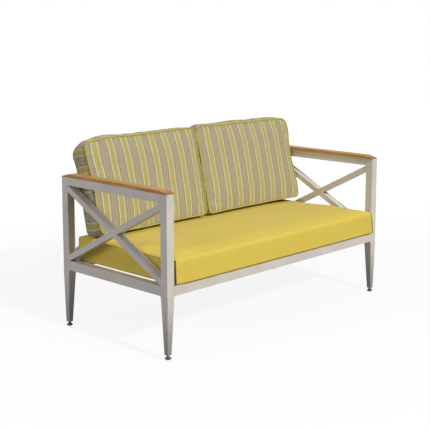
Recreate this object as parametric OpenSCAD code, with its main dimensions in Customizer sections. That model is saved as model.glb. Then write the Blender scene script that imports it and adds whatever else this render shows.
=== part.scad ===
// Two-seat outdoor bench: welded square tube frame with crossed braces in the sides and back,
// tapered cast legs on levelling glides, timber arm caps, one seat cushion and two back cushions.
// Millimetres. X runs along the bench, -Y is its front and +Z is up. The origin is on the floor,
// under the middle of the whole bench with its cushions.

/* [Frame] */
// Width over the posts
frame_w = 1400; // [1200:10:1800]
// Depth over the posts
frame_d = 660; // [600:5:740]
// Height of the metal frame at the arms
arm_h = 665; // [620:5:720]
// Height of the top of the seat rails
seat_h = 297; // [270:1:330]

/* [Tubes] */
// Side of the square post tube, and depth of all rails
post_w = 38; // [34:1:46]
// Height of the seat rail tube
rail_h = 40; // [32:1:48]
// Height of the arm rail and back rail tube
arm_rail_h = 35; // [28:1:42]
// Wall of every tube
tube_wall = 2; // [1.6:0.1:3]
// Outside corner radius of every tube
tube_round = 1.5; // [1:0.1:2]

/* [Braces] */
// Width of a crossed brace as seen from the side
brace_w = 25; // [18:1:32]
// How far a brace's faces lie behind the faces of the post
brace_inset = 1.5; // [0.5:0.1:6]
// Width of the upright in the middle of the back
upright_w = 25; // [20:1:38]

/* [Legs] */
// Width of a leg at its foot
leg_tip_w = 20; // [18:0.5:28]
// Height of the leg's lower end above the floor
leg_clear = 18; // [16:0.5:24]
// How far a foot stands out from the middle of its post, to the side and to the front or rear
leg_splay = 4.5; // [0:0.5:8]
// Radius of the fillet between a leg and the rails
leg_fillet = 9; // [4:0.5:14]
// Length of the plug on a leg that enters its post
plug_length = 30; // [20:1:45]

/* [Glides] */
// Radius of the threaded stem
stem_r = 4; // [3:0.5:5]
// Length of stem that is screwed into the leg
stem_engaged = 30; // [20:1:40]
// Radius of the glide's foot at its widest
pad_r = 14.5; // [12:0.5:18]
// Height at which the glide's foot is widest
pad_rim = 4.5; // [2:0.5:6]
// Radius of the flat base of the glide's foot
pad_base_r = 11; // [8:0.5:12]
// Height of the glide's foot
pad_h = 15; // [12:0.5:16]
// Radius at the top of the glide's foot
pad_neck_r = 6; // [5.5:0.5:8]

/* [Seat slats] */
// Number of slats across the seat
slat_count = 9; // [5:1:13]
// Width of a slat
slat_w = 50; // [30:1:60]
// Thickness of a slat
slat_t = 12; // [8:1:20]

/* [Arm caps] */
// Thickness of a timber arm cap
cap_t = 15; // [10:0.5:22]
// Width of a timber arm cap
cap_w = 44; // [40:1:60]
// Length of the slope at each end of a cap
cap_slope = 48; // [20:1:90]
// Thickness left at the end of a cap's slope
cap_lip = 2; // [1:0.1:6]
// Radius along a cap's long top edges
cap_round = 3; // [1:0.5:5]
// Number of screws in one cap
cap_screw_count = 3; // [2:1:6]
// Distance from a post to the nearest cap screw
cap_screw_end = 92; // [30:1:200]

/* [Seat cushion] */
// Height of the seat cushion at its edge
seat_cushion_t = 104; // [80:1:130]
// Rise of the seat cushion's crown above its edge
seat_crown = 14; // [4:1:30]
// How far the seat cushion stands out in front of the frame
seat_proud = 14; // [4:1:30]
// Gap between the seat cushion and a post
seat_side_gap = 2.5; // [1:0.5:12]
// Corner radius of the seat cushion seen from above
seat_corner_r = 22; // [10:1:60]
// Radius of the seat cushion's upper edge
seat_edge_r = 16; // [8:1:30]
// Radius of the seat cushion's lower edge
seat_base_r = 9; // [4:0.5:20]

/* [Back cushions] */
// Height of a back cushion along its face
back_cushion_h = 420; // [340:2:470]
// Thickness of a back cushion between its two piped seams
back_cushion_t = 94; // [70:1:110]
// Lean of the back cushions from upright, in degrees
back_lean = 13; // [6:0.5:20]
// Rise of the front face's crown
back_front_crown = 16; // [6:1:30]
// Rise of the rear face's crown
back_rear_crown = 12; // [4:1:20]
// How far the sides of a back cushion swell past its piped seams
back_side_swell = 5; // [1:0.5:12]
// Corner radius of a back cushion seen from the front
back_corner_r = 34; // [15:1:70]
// Gap between a back cushion and the arm cap beside it
back_side_gap = 2; // [1:0.5:15]

/* [Hidden] */

// Fits and small allowances
soft_gap = 0.3;
running_gap = 0.05;
plug_gap = 0.2;
overrun = 1;
bore_fn = 64;
round_fn = 32;

// Places shared by the frame and what sits in it
half_w = frame_w / 2;
inner_x = half_w - post_w;
front_y = (seat_proud - frame_d) / 2;
rear_y = front_y + frame_d;
inner_front_y = front_y + post_w;
inner_rear_y = rear_y - post_w;
mid_y = (front_y + rear_y) / 2;
inner_d = frame_d - 2 * post_w;
rail_under = seat_h - rail_h;
arm_under = arm_h - arm_rail_h;
opening_h = arm_under - seat_h;
back_opening_w = inner_x - upright_w / 2;
brace_depth = post_w - 2 * brace_inset;

// Legs and glides
leg_h = rail_under - leg_clear;
plug_w = post_w - 2 * tube_wall - 2 * plug_gap;
leg_bore_r = stem_r + running_gap;
leg_bore_spare = 8;
leg_bite = 1;
fillet_inset = 0.2;
tip_chamfer = 1.5;
stem_seat = 5;
pad_bore_r = stem_r + running_gap;

// Slats and the ledges that they lie on
ledge_w = 15;
ledge_t = 3;

// Arm cap screws with six-sided heads, driven up through the arm rail
screw_r = 2.4;
screw_bite = 9;
screw_head_r = 4.6;
screw_head_h = 2.8;
screw_head_sides = 6;
screw_play = 0.25;
screw_hole_r = screw_r + screw_play;
pilot_r = screw_r + running_gap;
pilot_spare = 1.5;

// Cushion construction: crown curve, seams and the foam block inside
crown_power = 3;
face_ring_shares = [0.35, 0.62, 0.84];
boxing_shares = [-1, -0.5, 0, 0.5, 1];
edge_angles = [0, 45, 90];
corner_steps = 4;
side_steps = 7;
seam_pull = 3;
wrap_t = 22;
settle_passes = 5;

// Seat cushion box
seat_half_w = inner_x - seat_side_gap;
seat_front_y = front_y - seat_proud;
seat_rear_y = inner_rear_y - soft_gap;
seat_half_d = (seat_rear_y - seat_front_y) / 2;
seat_mid_y = (seat_rear_y + seat_front_y) / 2;
seat_base_z = seat_h + soft_gap;

// Back cushion box, one each side of the middle
back_outer_x = half_w - cap_w - back_side_gap;
back_inner_x = soft_gap / 2;
back_half_w = (back_outer_x - back_inner_x) / 2;
back_mid_x = (back_outer_x + back_inner_x) / 2;
back_half_h = back_cushion_h / 2;

// Square and rounded tube

module tube_section(w, h) {
    difference() {
        union() {
            square([w - 2 * tube_round, h], center = true);
            square([w, h - 2 * tube_round], center = true);
            for (sx = [-1, 1], sy = [-1, 1])
                translate([sx * (w / 2 - tube_round), sy * (h / 2 - tube_round)])
                    circle(r = tube_round, $fn = round_fn);
        }
        square([w - 2 * tube_wall, h - 2 * tube_wall], center = true);
    }
}

// A tube along X with its lowest corner at the given place
module tube_x(x0, y0, z0, length, depth, height) {
    translate([x0, y0 + depth / 2, z0 + height / 2])
        rotate([90, 0, 90])
            linear_extrude(length)
                tube_section(depth, height);
}

// A tube along Y with its lowest corner at the given place
module tube_y(x0, y0, z0, length, width, height) {
    translate([x0 + width / 2, y0 + length, z0 + height / 2])
        rotate([90, 0, 0])
            linear_extrude(length)
                tube_section(width, height);
}

// A post from the underside of the seat rails to the arm, closed at the top.
// side_x is -1 on the left and 1 on the right, and side_y is -1 at the front and 1 at the rear.
function post_x(side_x) = side_x * (half_w - post_w / 2);
function post_y(side_y) = mid_y + side_y * (frame_d / 2 - post_w / 2);

module post(side_x, side_y) {
    color("gainsboro")
        translate([post_x(side_x), post_y(side_y), rail_under])
            union() {
                linear_extrude(arm_h - rail_under)
                    tube_section(post_w, post_w);
                translate([0, 0, arm_h - rail_under - tube_wall / 2])
                    cube([post_w - tube_wall, post_w - tube_wall, tube_wall], center = true);
            }
}

// Tapered cast legs

// Outline of a leg whose foot stands out to one side, -1 or 1
module leg_taper(side) {
    foot = side * leg_splay;
    polygon([
        [foot - leg_tip_w / 2 + tip_chamfer, leg_clear],
        [foot + leg_tip_w / 2 - tip_chamfer, leg_clear],
        [foot + leg_tip_w / 2, leg_clear + tip_chamfer],
        [post_w / 2, rail_under],
        [-post_w / 2, rail_under],
        [foot - leg_tip_w / 2, leg_clear + tip_chamfer]
    ]);
}

// From the middle of the post to the leg's inner face, where its fillet starts
fillet_x = post_w / 2 - (post_w / 2 - leg_tip_w / 2 + leg_splay) * leg_fillet / leg_h;

module leg_fillet_section() {
    difference() {
        translate([fillet_x - leg_bite, rail_under - leg_fillet])
            square([leg_fillet + leg_bite, leg_fillet]);
        translate([fillet_x + leg_fillet, rail_under - leg_fillet])
            circle(r = leg_fillet, $fn = bore_fn);
    }
}

// Extrudes an outline of width and height evenly to both sides of its plane, along Y
module across_y(length) {
    translate([0, length / 2, 0])
        rotate([90, 0, 0])
            linear_extrude(length)
                children();
}

module leg(side_x, side_y) {
    color("silver")
        translate([post_x(side_x), post_y(side_y), 0])
            difference() {
                union() {
                    intersection() {
                        across_y(post_w + 2 * leg_splay) leg_taper(side_x);
                        rotate([0, 0, 90]) across_y(post_w + 2 * leg_splay) leg_taper(side_y);
                    }
                    mirror([side_x > 0 ? 1 : 0, 0, 0])
                        across_y(2 * (fillet_x - fillet_inset)) leg_fillet_section();
                    mirror([0, side_y > 0 ? 1 : 0, 0])
                        rotate([0, 0, 90]) across_y(2 * (fillet_x - fillet_inset)) leg_fillet_section();
                    translate([-plug_w / 2, -plug_w / 2, rail_under - overrun])
                        cube([plug_w, plug_w, plug_length + overrun]);
                }
                translate([side_x * leg_splay, side_y * leg_splay, leg_clear - overrun])
                    cylinder(r = leg_bore_r, h = stem_engaged + leg_bore_spare + overrun, $fn = bore_fn);
            }
}

// Levelling glides

function foot_x(side_x) = post_x(side_x) + side_x * leg_splay;
function foot_y(side_y) = post_y(side_y) + side_y * leg_splay;

module glide_stem(side_x, side_y) {
    color("gray")
        translate([foot_x(side_x), foot_y(side_y), stem_seat])
            cylinder(r = stem_r, h = leg_clear + stem_engaged - stem_seat, $fn = bore_fn);
}

module glide_pad(side_x, side_y) {
    color("dimgray")
        translate([foot_x(side_x), foot_y(side_y), 0])
            difference() {
                hull() {
                    cylinder(r1 = pad_base_r, r2 = pad_r, h = pad_rim, $fn = round_fn);
                    translate([0, 0, pad_rim])
                        cylinder(r1 = pad_r, r2 = pad_neck_r, h = pad_h - pad_rim, $fn = round_fn);
                }
                translate([0, 0, stem_seat])
                    cylinder(r = pad_bore_r, h = pad_h - stem_seat + overrun, $fn = bore_fn);
            }
}

// Rails between the posts

module arm_rail(side_x) {
    color("gainsboro")
        difference() {
            tube_y(side_x > 0 ? inner_x : -half_w, inner_front_y, arm_under, inner_d, post_w, arm_rail_h);
            for (y = cap_screw_places)
                translate([post_x(side_x), y, arm_under - overrun])
                    cylinder(r = screw_hole_r, h = arm_rail_h + 2 * overrun, $fn = bore_fn);
        }
}

module side_rail(side_x) {
    color("gainsboro")
        tube_y(side_x > 0 ? inner_x : -half_w, inner_front_y, rail_under, inner_d, post_w, rail_h);
}

module front_rail() {
    color("gainsboro")
        tube_x(-inner_x, front_y, rail_under, 2 * inner_x, post_w, rail_h);
}

module rear_rail() {
    color("gainsboro")
        tube_x(-inner_x, inner_rear_y, rail_under, 2 * inner_x, post_w, rail_h);
}

module back_top_rail() {
    color("gainsboro")
        tube_x(-inner_x, inner_rear_y, arm_under, 2 * inner_x, post_w, arm_rail_h);
}

module back_upright() {
    color("gainsboro")
        translate([0, rear_y - post_w / 2, seat_h])
            linear_extrude(opening_h)
                tube_section(upright_w, post_w);
}

// Crossed braces. In an opening of width a and height b, a brace's upper edge starts in one corner
// and its lower edge ends in the opposite one. drop is what its width measures plumb, and rise is
// the slope of its edges. One brace runs through and two halves meet it from the other corners.

function brace_angle(a, b) = acos(brace_w / sqrt(a * a + b * b)) - atan2(a, b);
function brace_drop(a, b) = brace_w / cos(brace_angle(a, b));
function brace_rise(a, b) = tan(brace_angle(a, b));
function brace_wall(a, b) = tube_wall / cos(brace_angle(a, b));

// A strip between two plumb ends. low and high are its edges' heights at zero, and rise their slope.
function strip(from, to, low, high, rise) = [
    [from, low + from * rise],
    [from, high + from * rise],
    [to, high + to * rise],
    [to, low + to * rise]
];

// Both outlines are extruded from z = 0 to the braces' depth, and the hollow runs between two walls
module brace_tube(outer, hollow) {
    difference() {
        linear_extrude(brace_depth)
            polygon(outer);
        translate([0, 0, tube_wall])
            linear_extrude(brace_depth - 2 * tube_wall)
                polygon(hollow);
    }
}

module long_brace(a, b) {
    drop = brace_drop(a, b);
    rise = brace_rise(a, b);
    wall = brace_wall(a, b);
    brace_tube(
        strip(0, a, b - drop, b, -rise),
        strip(-overrun, a + overrun, b - drop + wall, b - wall, -rise)
    );
}

module half_brace(a, b) {
    drop = brace_drop(a, b);
    rise = brace_rise(a, b);
    wall = brace_wall(a, b);
    upper_run = (b - 2 * drop) / (2 * rise);
    lower_run = (b - drop) / (2 * rise);
    brace_tube(
        [[0, 0], [0, drop], [upper_run, drop + upper_run * rise], [lower_run, lower_run * rise]],
        strip(-overrun, lower_run + overrun, wall, drop - wall, rise)
    );
}

// Turns a flat brace into a side opening: its left edge goes to the rear post
module in_side(side_x) {
    color("gainsboro")
        translate([side_x * (half_w - post_w / 2) + brace_depth / 2, inner_rear_y, seat_h])
            rotate([90, 0, -90])
                children();
}

module side_long_brace(side_x) {
    in_side(side_x) long_brace(inner_d, opening_h);
}

module side_rear_brace(side_x) {
    in_side(side_x) half_brace(inner_d, opening_h);
}

module side_front_brace(side_x) {
    in_side(side_x)
        translate([inner_d, opening_h, 0])
            rotate([0, 0, 180])
                half_brace(inner_d, opening_h);
}

// Turns a flat brace into one half of the back: its left edge goes to the rear post
module in_back(side_x) {
    color("gainsboro")
        mirror([side_x > 0 ? 1 : 0, 0, 0])
            translate([-inner_x, rear_y - brace_inset, seat_h])
                rotate([90, 0, 0])
                    children();
}

module back_long_brace(side_x) {
    in_back(side_x) long_brace(back_opening_w, opening_h);
}

module back_outer_brace(side_x) {
    in_back(side_x) half_brace(back_opening_w, opening_h);
}

module back_inner_brace(side_x) {
    in_back(side_x)
        translate([back_opening_w, opening_h, 0])
            rotate([0, 0, 180])
                half_brace(back_opening_w, opening_h);
}

// Seat deck: two ledges on the front and rear rails carry the slats flush with the rails' tops

module slat_ledge(y) {
    color("darkgray")
        translate([-inner_x, y, seat_h - slat_t - ledge_t])
            cube([2 * inner_x, ledge_w, ledge_t]);
}

slat_pitch = 2 * inner_x / slat_count;

module seat_slats() {
    color("darkgray")
        for (i = [0:slat_count - 1])
            tube_y(-inner_x + (i + 0.5) * slat_pitch - slat_w / 2, inner_front_y, seat_h - slat_t,
                inner_d, slat_w, slat_t);
}

// Timber arm caps and their screws

cap_screw_pitch = (inner_d - 2 * cap_screw_end) / (cap_screw_count - 1);
cap_screw_places = [
    for (i = [0:cap_screw_count - 1]) inner_front_y + cap_screw_end + i * cap_screw_pitch
];

module cap_side() {
    polygon([
        [front_y, arm_h],
        [front_y, arm_h + cap_lip],
        [front_y + cap_slope, arm_h + cap_t],
        [rear_y - cap_slope, arm_h + cap_t],
        [rear_y, arm_h + cap_lip],
        [rear_y, arm_h]
    ]);
}

module cap_section() {
    square([cap_w, cap_t - cap_round]);
    translate([cap_round, 0])
        square([cap_w - 2 * cap_round, cap_t]);
    for (x = [cap_round, cap_w - cap_round])
        translate([x, cap_t - cap_round])
            circle(r = cap_round, $fn = round_fn);
}

module arm_cap(side_x) {
    color("peru")
        mirror([side_x > 0 ? 1 : 0, 0, 0])
            difference() {
                intersection() {
                    translate([-half_w - overrun, 0, 0])
                        rotate([90, 0, 90])
                            linear_extrude(cap_w + 2 * overrun)
                                cap_side();
                    translate([-half_w, rear_y + overrun, arm_h])
                        rotate([90, 0, 0])
                            linear_extrude(frame_d + 2 * overrun)
                                cap_section();
                }
                for (y = cap_screw_places)
                    translate([post_x(-1), y, arm_h - overrun])
                        cylinder(r = pilot_r, h = screw_bite + pilot_spare + overrun, $fn = bore_fn);
            }
}

module arm_cap_screws() {
    color("silver")
        for (side_x = [-1, 1], y = cap_screw_places)
            translate([post_x(side_x), y, arm_under - screw_head_h])
                union() {
                    cylinder(r = screw_head_r, h = screw_head_h, $fn = screw_head_sides);
                    cylinder(r = screw_r, h = screw_head_h + arm_rail_h + screw_bite, $fn = round_fn);
                }
}

// Cushion forms. A form is a stack of rings, each a rounded rectangle of half sizes hw and hd with
// corner radius r at height z, its sides drawn in by pull at their middles.

function ring(hw, hd, r, z, pull) = [
    for (quarter = [0:3])
        let (
            sx = quarter == 0 || quarter == 3 ? 1 : -1,
            sy = quarter < 2 ? 1 : -1,
            along_x = quarter % 2 == 0,
            cx = sx * (hw - r),
            cy = sy * (hd - r)
        )
        for (step = [0:corner_steps + side_steps - 1])
            let (
                turn = 90 * (quarter + min(step, corner_steps) / corner_steps),
                run = max(step - corner_steps, 0) / side_steps,
                span = along_x ? 2 * (hw - r) : 2 * (hd - r),
                dent = pull * sin(180 * run),
                ahead = span * run
            )
            [
                cx + r * cos(turn) - (along_x ? sx * ahead : sx * dent),
                cy + r * sin(turn) - (along_x ? sy * dent : sy * ahead),
                z
            ]
];

// Rings are listed from the lowest up, and a single point closes each end of the stack
module ring_stack(rings, low, high) {
    n = len(rings[0]);
    count = len(rings);
    skin = [
        for (k = [0:count - 2], j = [0:n - 1], half = [0, 1])
            let (
                a = k * n + j,
                b = k * n + (j + 1) % n
            )
            half == 0 ? [a, a + n, b + n] : [a, b + n, b]
    ];
    low_end = [for (j = [0:n - 1]) [n * count, j, (j + 1) % n]];
    high_end = [
        for (j = [0:n - 1])
            [n * count + 1, n * (count - 1) + (j + 1) % n, n * (count - 1) + j]
    ];
    polyhedron(
        points = concat([for (one = rings) for (p = one) p], [[0, 0, low], [0, 0, high]]),
        faces = concat(skin, low_end, high_end)
    );
}

// Height of a crown at a share of the way from the middle of a face to its edge
function crown_at(rise, share) = rise * (1 - pow(min(abs(share), 1), crown_power));

function reversed(list) = [for (i = [len(list) - 1:-1:0]) list[i]];

// Seat cushion: flat base, rounded lower and upper edges, crowned top
function seat_rings() = concat(
    [for (a = edge_angles)
        ring(
            seat_half_w - seat_base_r * (1 - sin(a)), seat_half_d - seat_base_r * (1 - sin(a)),
            seat_corner_r, seat_base_r * (1 - cos(a)), 0
        )],
    [for (a = edge_angles)
        ring(
            seat_half_w - seat_edge_r * (1 - cos(a)), seat_half_d - seat_edge_r * (1 - cos(a)),
            seat_corner_r, seat_cushion_t - seat_edge_r * (1 - sin(a)), seam_pull * sin(a)
        )],
    [for (s = reversed(face_ring_shares))
        ring(
            (seat_half_w - seat_edge_r) * s, (seat_half_d - seat_edge_r) * s,
            seat_corner_r * s, seat_cushion_t + crown_at(seat_crown, s), seam_pull * s
        )]
);

module seat_cushion_core_block() {
    translate([-seat_half_w + wrap_t, -seat_half_d + wrap_t, wrap_t])
        cube([2 * (seat_half_w - wrap_t), 2 * (seat_half_d - wrap_t), seat_cushion_t - 2 * wrap_t]);
}

module at_seat() {
    translate([0, seat_mid_y, seat_base_z])
        children();
}

module seat_cushion_cover() {
    color("gold")
        at_seat()
            difference() {
                ring_stack(seat_rings(), 0, seat_cushion_t + seat_crown);
                seat_cushion_core_block();
            }
}

module seat_cushion_core() {
    color("khaki")
        at_seat()
            seat_cushion_core_block();
}

// Back cushion: x runs along the bench, y up its face and z through it towards the front
function back_face_rings(side, rise) = [
    for (s = face_ring_shares)
        ring(
            (back_half_w - back_side_swell) * s, (back_half_h - back_side_swell) * s,
            back_corner_r * s, side * (back_cushion_t / 2 + crown_at(rise, s)), seam_pull * s
        )
];

function back_rings() = concat(
    back_face_rings(-1, back_rear_crown),
    [for (s = boxing_shares)
        let (swell = back_side_swell * s * s)
        ring(
            back_half_w - swell, back_half_h - swell, back_corner_r,
            s * back_cushion_t / 2, seam_pull * s * s
        )],
    reversed(back_face_rings(1, back_front_crown))
);

module back_cushion_core_block() {
    cube(
        [2 * (back_half_w - wrap_t), 2 * (back_half_h - wrap_t), back_cushion_t - 2 * wrap_t],
        center = true
    );
}

// Where a leaning point lies behind and above the middle of its cushion
function leaned_y(up, forward) = up * sin(back_lean) - forward * cos(back_lean);
function leaned_z(up, forward) = up * cos(back_lean) + forward * sin(back_lean);

// Shares of the way across a face at its rings, from one edge to the other
across_shares = concat([-1], reversed(-face_ring_shares), [0], face_ring_shares, [1]);

// The seat cushion's top as seen from the side, from its front to its rear, as places and heights
seat_top = [
    for (s = across_shares)
        [seat_mid_y + (seat_half_d - seat_edge_r) * s, seat_base_z + seat_cushion_t + crown_at(seat_crown, s)]
];

// A back cushion's lower boxing as seen from the side, from its front seam to its rear seam,
// as places and heights from the cushion's middle
lower_edge = [
    for (s = reversed(boxing_shares))
        let (
            up = back_side_swell * s * s - back_half_h,
            forward = s * back_cushion_t / 2
        )
        [leaned_y(up, forward), leaned_z(up, forward)]
];

// Its rear face as seen from the side, from its lower seam up, as heights and places
rear_face = [
    for (s = across_shares)
        let (
            up = (back_half_h - back_side_swell) * s,
            behind = back_cushion_t / 2 + crown_at(back_rear_crown, s)
        )
        [leaned_z(up, -behind), leaned_y(up, -behind)]
];

// Place at which a cushion of a given height has its rear face against the back rail
function back_y_at(z) =
    inner_rear_y - soft_gap - max(concat(
        [lookup(arm_h - z, rear_face)],
        [for (p = rear_face) if (z + p[0] < arm_h) p[1]]
    ));

// Height at which a cushion of a given place has its lower edge on the seat cushion's crown
function back_z_at(y) =
    let (
        edge_front = lower_edge[0][0],
        edge_rear = lower_edge[len(lower_edge) - 1][0]
    )
    soft_gap + max(concat(
        [for (p = lower_edge) lookup(y + p[0], seat_top) - p[1]],
        [for (q = seat_top)
            if (q[0] - y > edge_front && q[0] - y < edge_rear)
                q[1] - lookup(q[0] - y, lower_edge)]
    ));

// Both are met by setting the place and the height in turn
function settled_z(z, passes) = passes == 0 ? z : settled_z(back_z_at(back_y_at(z)), passes - 1);

back_mid_z = settled_z(seat_base_z + seat_cushion_t + seat_crown + back_half_h, settle_passes);
back_mid_y = back_y_at(back_mid_z);

module at_back(side_x) {
    translate([side_x * back_mid_x, back_mid_y, back_mid_z])
        rotate([90 - back_lean, 0, 0])
            children();
}

module back_cushion_cover(side_x) {
    color("darkkhaki")
        at_back(side_x)
            difference() {
                ring_stack(
                    back_rings(),
                    -back_cushion_t / 2 - back_rear_crown,
                    back_cushion_t / 2 + back_front_crown
                );
                back_cushion_core_block();
            }
}

module back_cushion_core(side_x) {
    color("khaki")
        at_back(side_x)
            back_cushion_core_block();
}

post(-1, -1);  // left_front_post
post(-1, 1);  // left_rear_post
post(1, -1);  // right_front_post
post(1, 1);  // right_rear_post
leg(-1, -1);  // left_front_leg
leg(-1, 1);  // left_rear_leg
leg(1, -1);  // right_front_leg
leg(1, 1);  // right_rear_leg
glide_stem(-1, -1);  // left_front_glide_stem
glide_stem(-1, 1);  // left_rear_glide_stem
glide_stem(1, -1);  // right_front_glide_stem
glide_stem(1, 1);  // right_rear_glide_stem
glide_pad(-1, -1);  // left_front_glide_pad
glide_pad(-1, 1);  // left_rear_glide_pad
glide_pad(1, -1);  // right_front_glide_pad
glide_pad(1, 1);  // right_rear_glide_pad
arm_rail(-1);  // left_arm_rail
arm_rail(1);  // right_arm_rail
side_rail(-1);  // left_side_rail
side_rail(1);  // right_side_rail
front_rail();
rear_rail();
back_top_rail();
back_upright();
side_long_brace(-1);  // left_side_long_brace
side_front_brace(-1);  // left_side_front_brace
side_rear_brace(-1);  // left_side_rear_brace
side_long_brace(1);  // right_side_long_brace
side_front_brace(1);  // right_side_front_brace
side_rear_brace(1);  // right_side_rear_brace
back_long_brace(-1);  // back_left_long_brace
back_outer_brace(-1);  // back_left_outer_brace
back_inner_brace(-1);  // back_left_inner_brace
back_long_brace(1);  // back_right_long_brace
back_outer_brace(1);  // back_right_outer_brace
back_inner_brace(1);  // back_right_inner_brace
slat_ledge(inner_front_y);  // front_slat_ledge
slat_ledge(inner_rear_y - ledge_w);  // rear_slat_ledge
seat_slats();
arm_cap(-1);  // left_arm_cap
arm_cap(1);  // right_arm_cap
arm_cap_screws();
seat_cushion_cover();
seat_cushion_core();
back_cushion_cover(-1);  // left_back_cushion_cover
back_cushion_core(-1);  // left_back_cushion_core
back_cushion_cover(1);  // right_back_cushion_cover
back_cushion_core(1);  // right_back_cushion_core
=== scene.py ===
"""Looks of a two-seat outdoor bench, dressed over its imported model.

Lengths are in metres in the model's own frame: X along the bench, -Y its front, Z up from the floor.
Cushions are worked out in a frame of their own, u across, v up the face and w out of it, and then placed.
"""

import logging
import math
from collections.abc import Callable, Sequence
from dataclasses import dataclass, field
from enum import Enum
from functools import lru_cache

import bpy
import numpy as np
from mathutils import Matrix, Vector


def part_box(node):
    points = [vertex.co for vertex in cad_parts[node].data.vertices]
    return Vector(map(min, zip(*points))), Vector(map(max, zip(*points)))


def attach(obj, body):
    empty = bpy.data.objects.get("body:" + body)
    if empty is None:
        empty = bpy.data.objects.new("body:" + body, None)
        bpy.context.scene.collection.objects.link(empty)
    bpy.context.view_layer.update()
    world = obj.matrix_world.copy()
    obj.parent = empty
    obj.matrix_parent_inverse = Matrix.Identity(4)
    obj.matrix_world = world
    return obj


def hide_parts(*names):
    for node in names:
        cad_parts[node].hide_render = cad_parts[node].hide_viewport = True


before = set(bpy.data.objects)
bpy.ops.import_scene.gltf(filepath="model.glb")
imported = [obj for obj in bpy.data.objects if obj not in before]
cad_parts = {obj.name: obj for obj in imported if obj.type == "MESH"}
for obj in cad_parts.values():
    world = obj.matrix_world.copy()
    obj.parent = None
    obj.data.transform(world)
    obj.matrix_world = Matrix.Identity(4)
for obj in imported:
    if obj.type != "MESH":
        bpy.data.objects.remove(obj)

LOG = logging.getLogger("bench")
WHITE = (1.0, 1.0, 1.0, 1.0)
CLOTH_MAP = "cloth"
TURN = 2 * math.pi

Colour = tuple[float, float, float, float]
Array = np.ndarray


def srgb(red: float, green: float, blue: float) -> Colour:
    """Linear colour of an eight-bit display colour, each channel by the display curve's inverse."""
    share = np.array([red, green, blue]) / 255
    linear = np.where(share <= 0.04045, share / 12.92, ((share + 0.055) / 1.055) ** 2.4)
    return (float(linear[0]), float(linear[1]), float(linear[2]), 1.0)


class Place(Enum):
    """A place on the bench, whose value is the sign of an axis."""

    @property
    def word(self) -> str:
        """The place as node names write it."""
        return self.name.lower()


class Side(Place):
    """The two ends of the bench, by the sign of X."""

    LEFT = -1
    RIGHT = 1


class Rank(Place):
    """Front or rear of the bench, by the sign of Y."""

    FRONT = -1
    REAR = 1


# Shader maths


class Signal:
    """A shader socket that takes part in Python expressions, each operation adding its Math node."""

    def __init__(self, graph: "Graph", socket: bpy.types.NodeSocket) -> None:
        """Keeps the socket with the graph that it belongs to."""
        self.graph = graph
        self.socket = socket

    def __add__(self, other: "Number") -> "Signal":
        """Sum."""
        return self.graph.math("ADD", self, other)

    __radd__ = __add__

    def __sub__(self, other: "Number") -> "Signal":
        """Difference."""
        return self.graph.math("SUBTRACT", self, other)

    def __rsub__(self, other: "Number") -> "Signal":
        """Difference from a number."""
        return self.graph.math("SUBTRACT", other, self)

    def __mul__(self, other: "Number") -> "Signal":
        """Product."""
        return self.graph.math("MULTIPLY", self, other)

    __rmul__ = __mul__

    def __truediv__(self, other: "Number") -> "Signal":
        """Quotient."""
        return self.graph.math("DIVIDE", self, other)

    def __rtruediv__(self, other: "Number") -> "Signal":
        """A number over this signal."""
        return self.graph.math("DIVIDE", other, self)

    def __abs__(self) -> "Signal":
        """Size without sign."""
        return self.graph.math("ABSOLUTE", self)

    def fract(self) -> "Signal":
        """Part after the point."""
        return self.graph.math("FRACT", self)

    def wave(self, pitch: float) -> "Signal":
        """Sine that repeats every pitch."""
        return self.graph.math("SINE", self * (TURN / pitch))

    def clamped(self) -> "Signal":
        """Held between 0 and 1."""
        return self.graph.node("ShaderNodeClamp", {}, {0: self})

    def ramped(self, low: float, high: float) -> "Signal":
        """Rises smoothly from 0 at low to 1 at high."""
        settings = {"interpolation_type": "SMOOTHSTEP"}
        return self.graph.node("ShaderNodeMapRange", settings, {0: self, 1: low, 2: high})


Number = Signal | float


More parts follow.
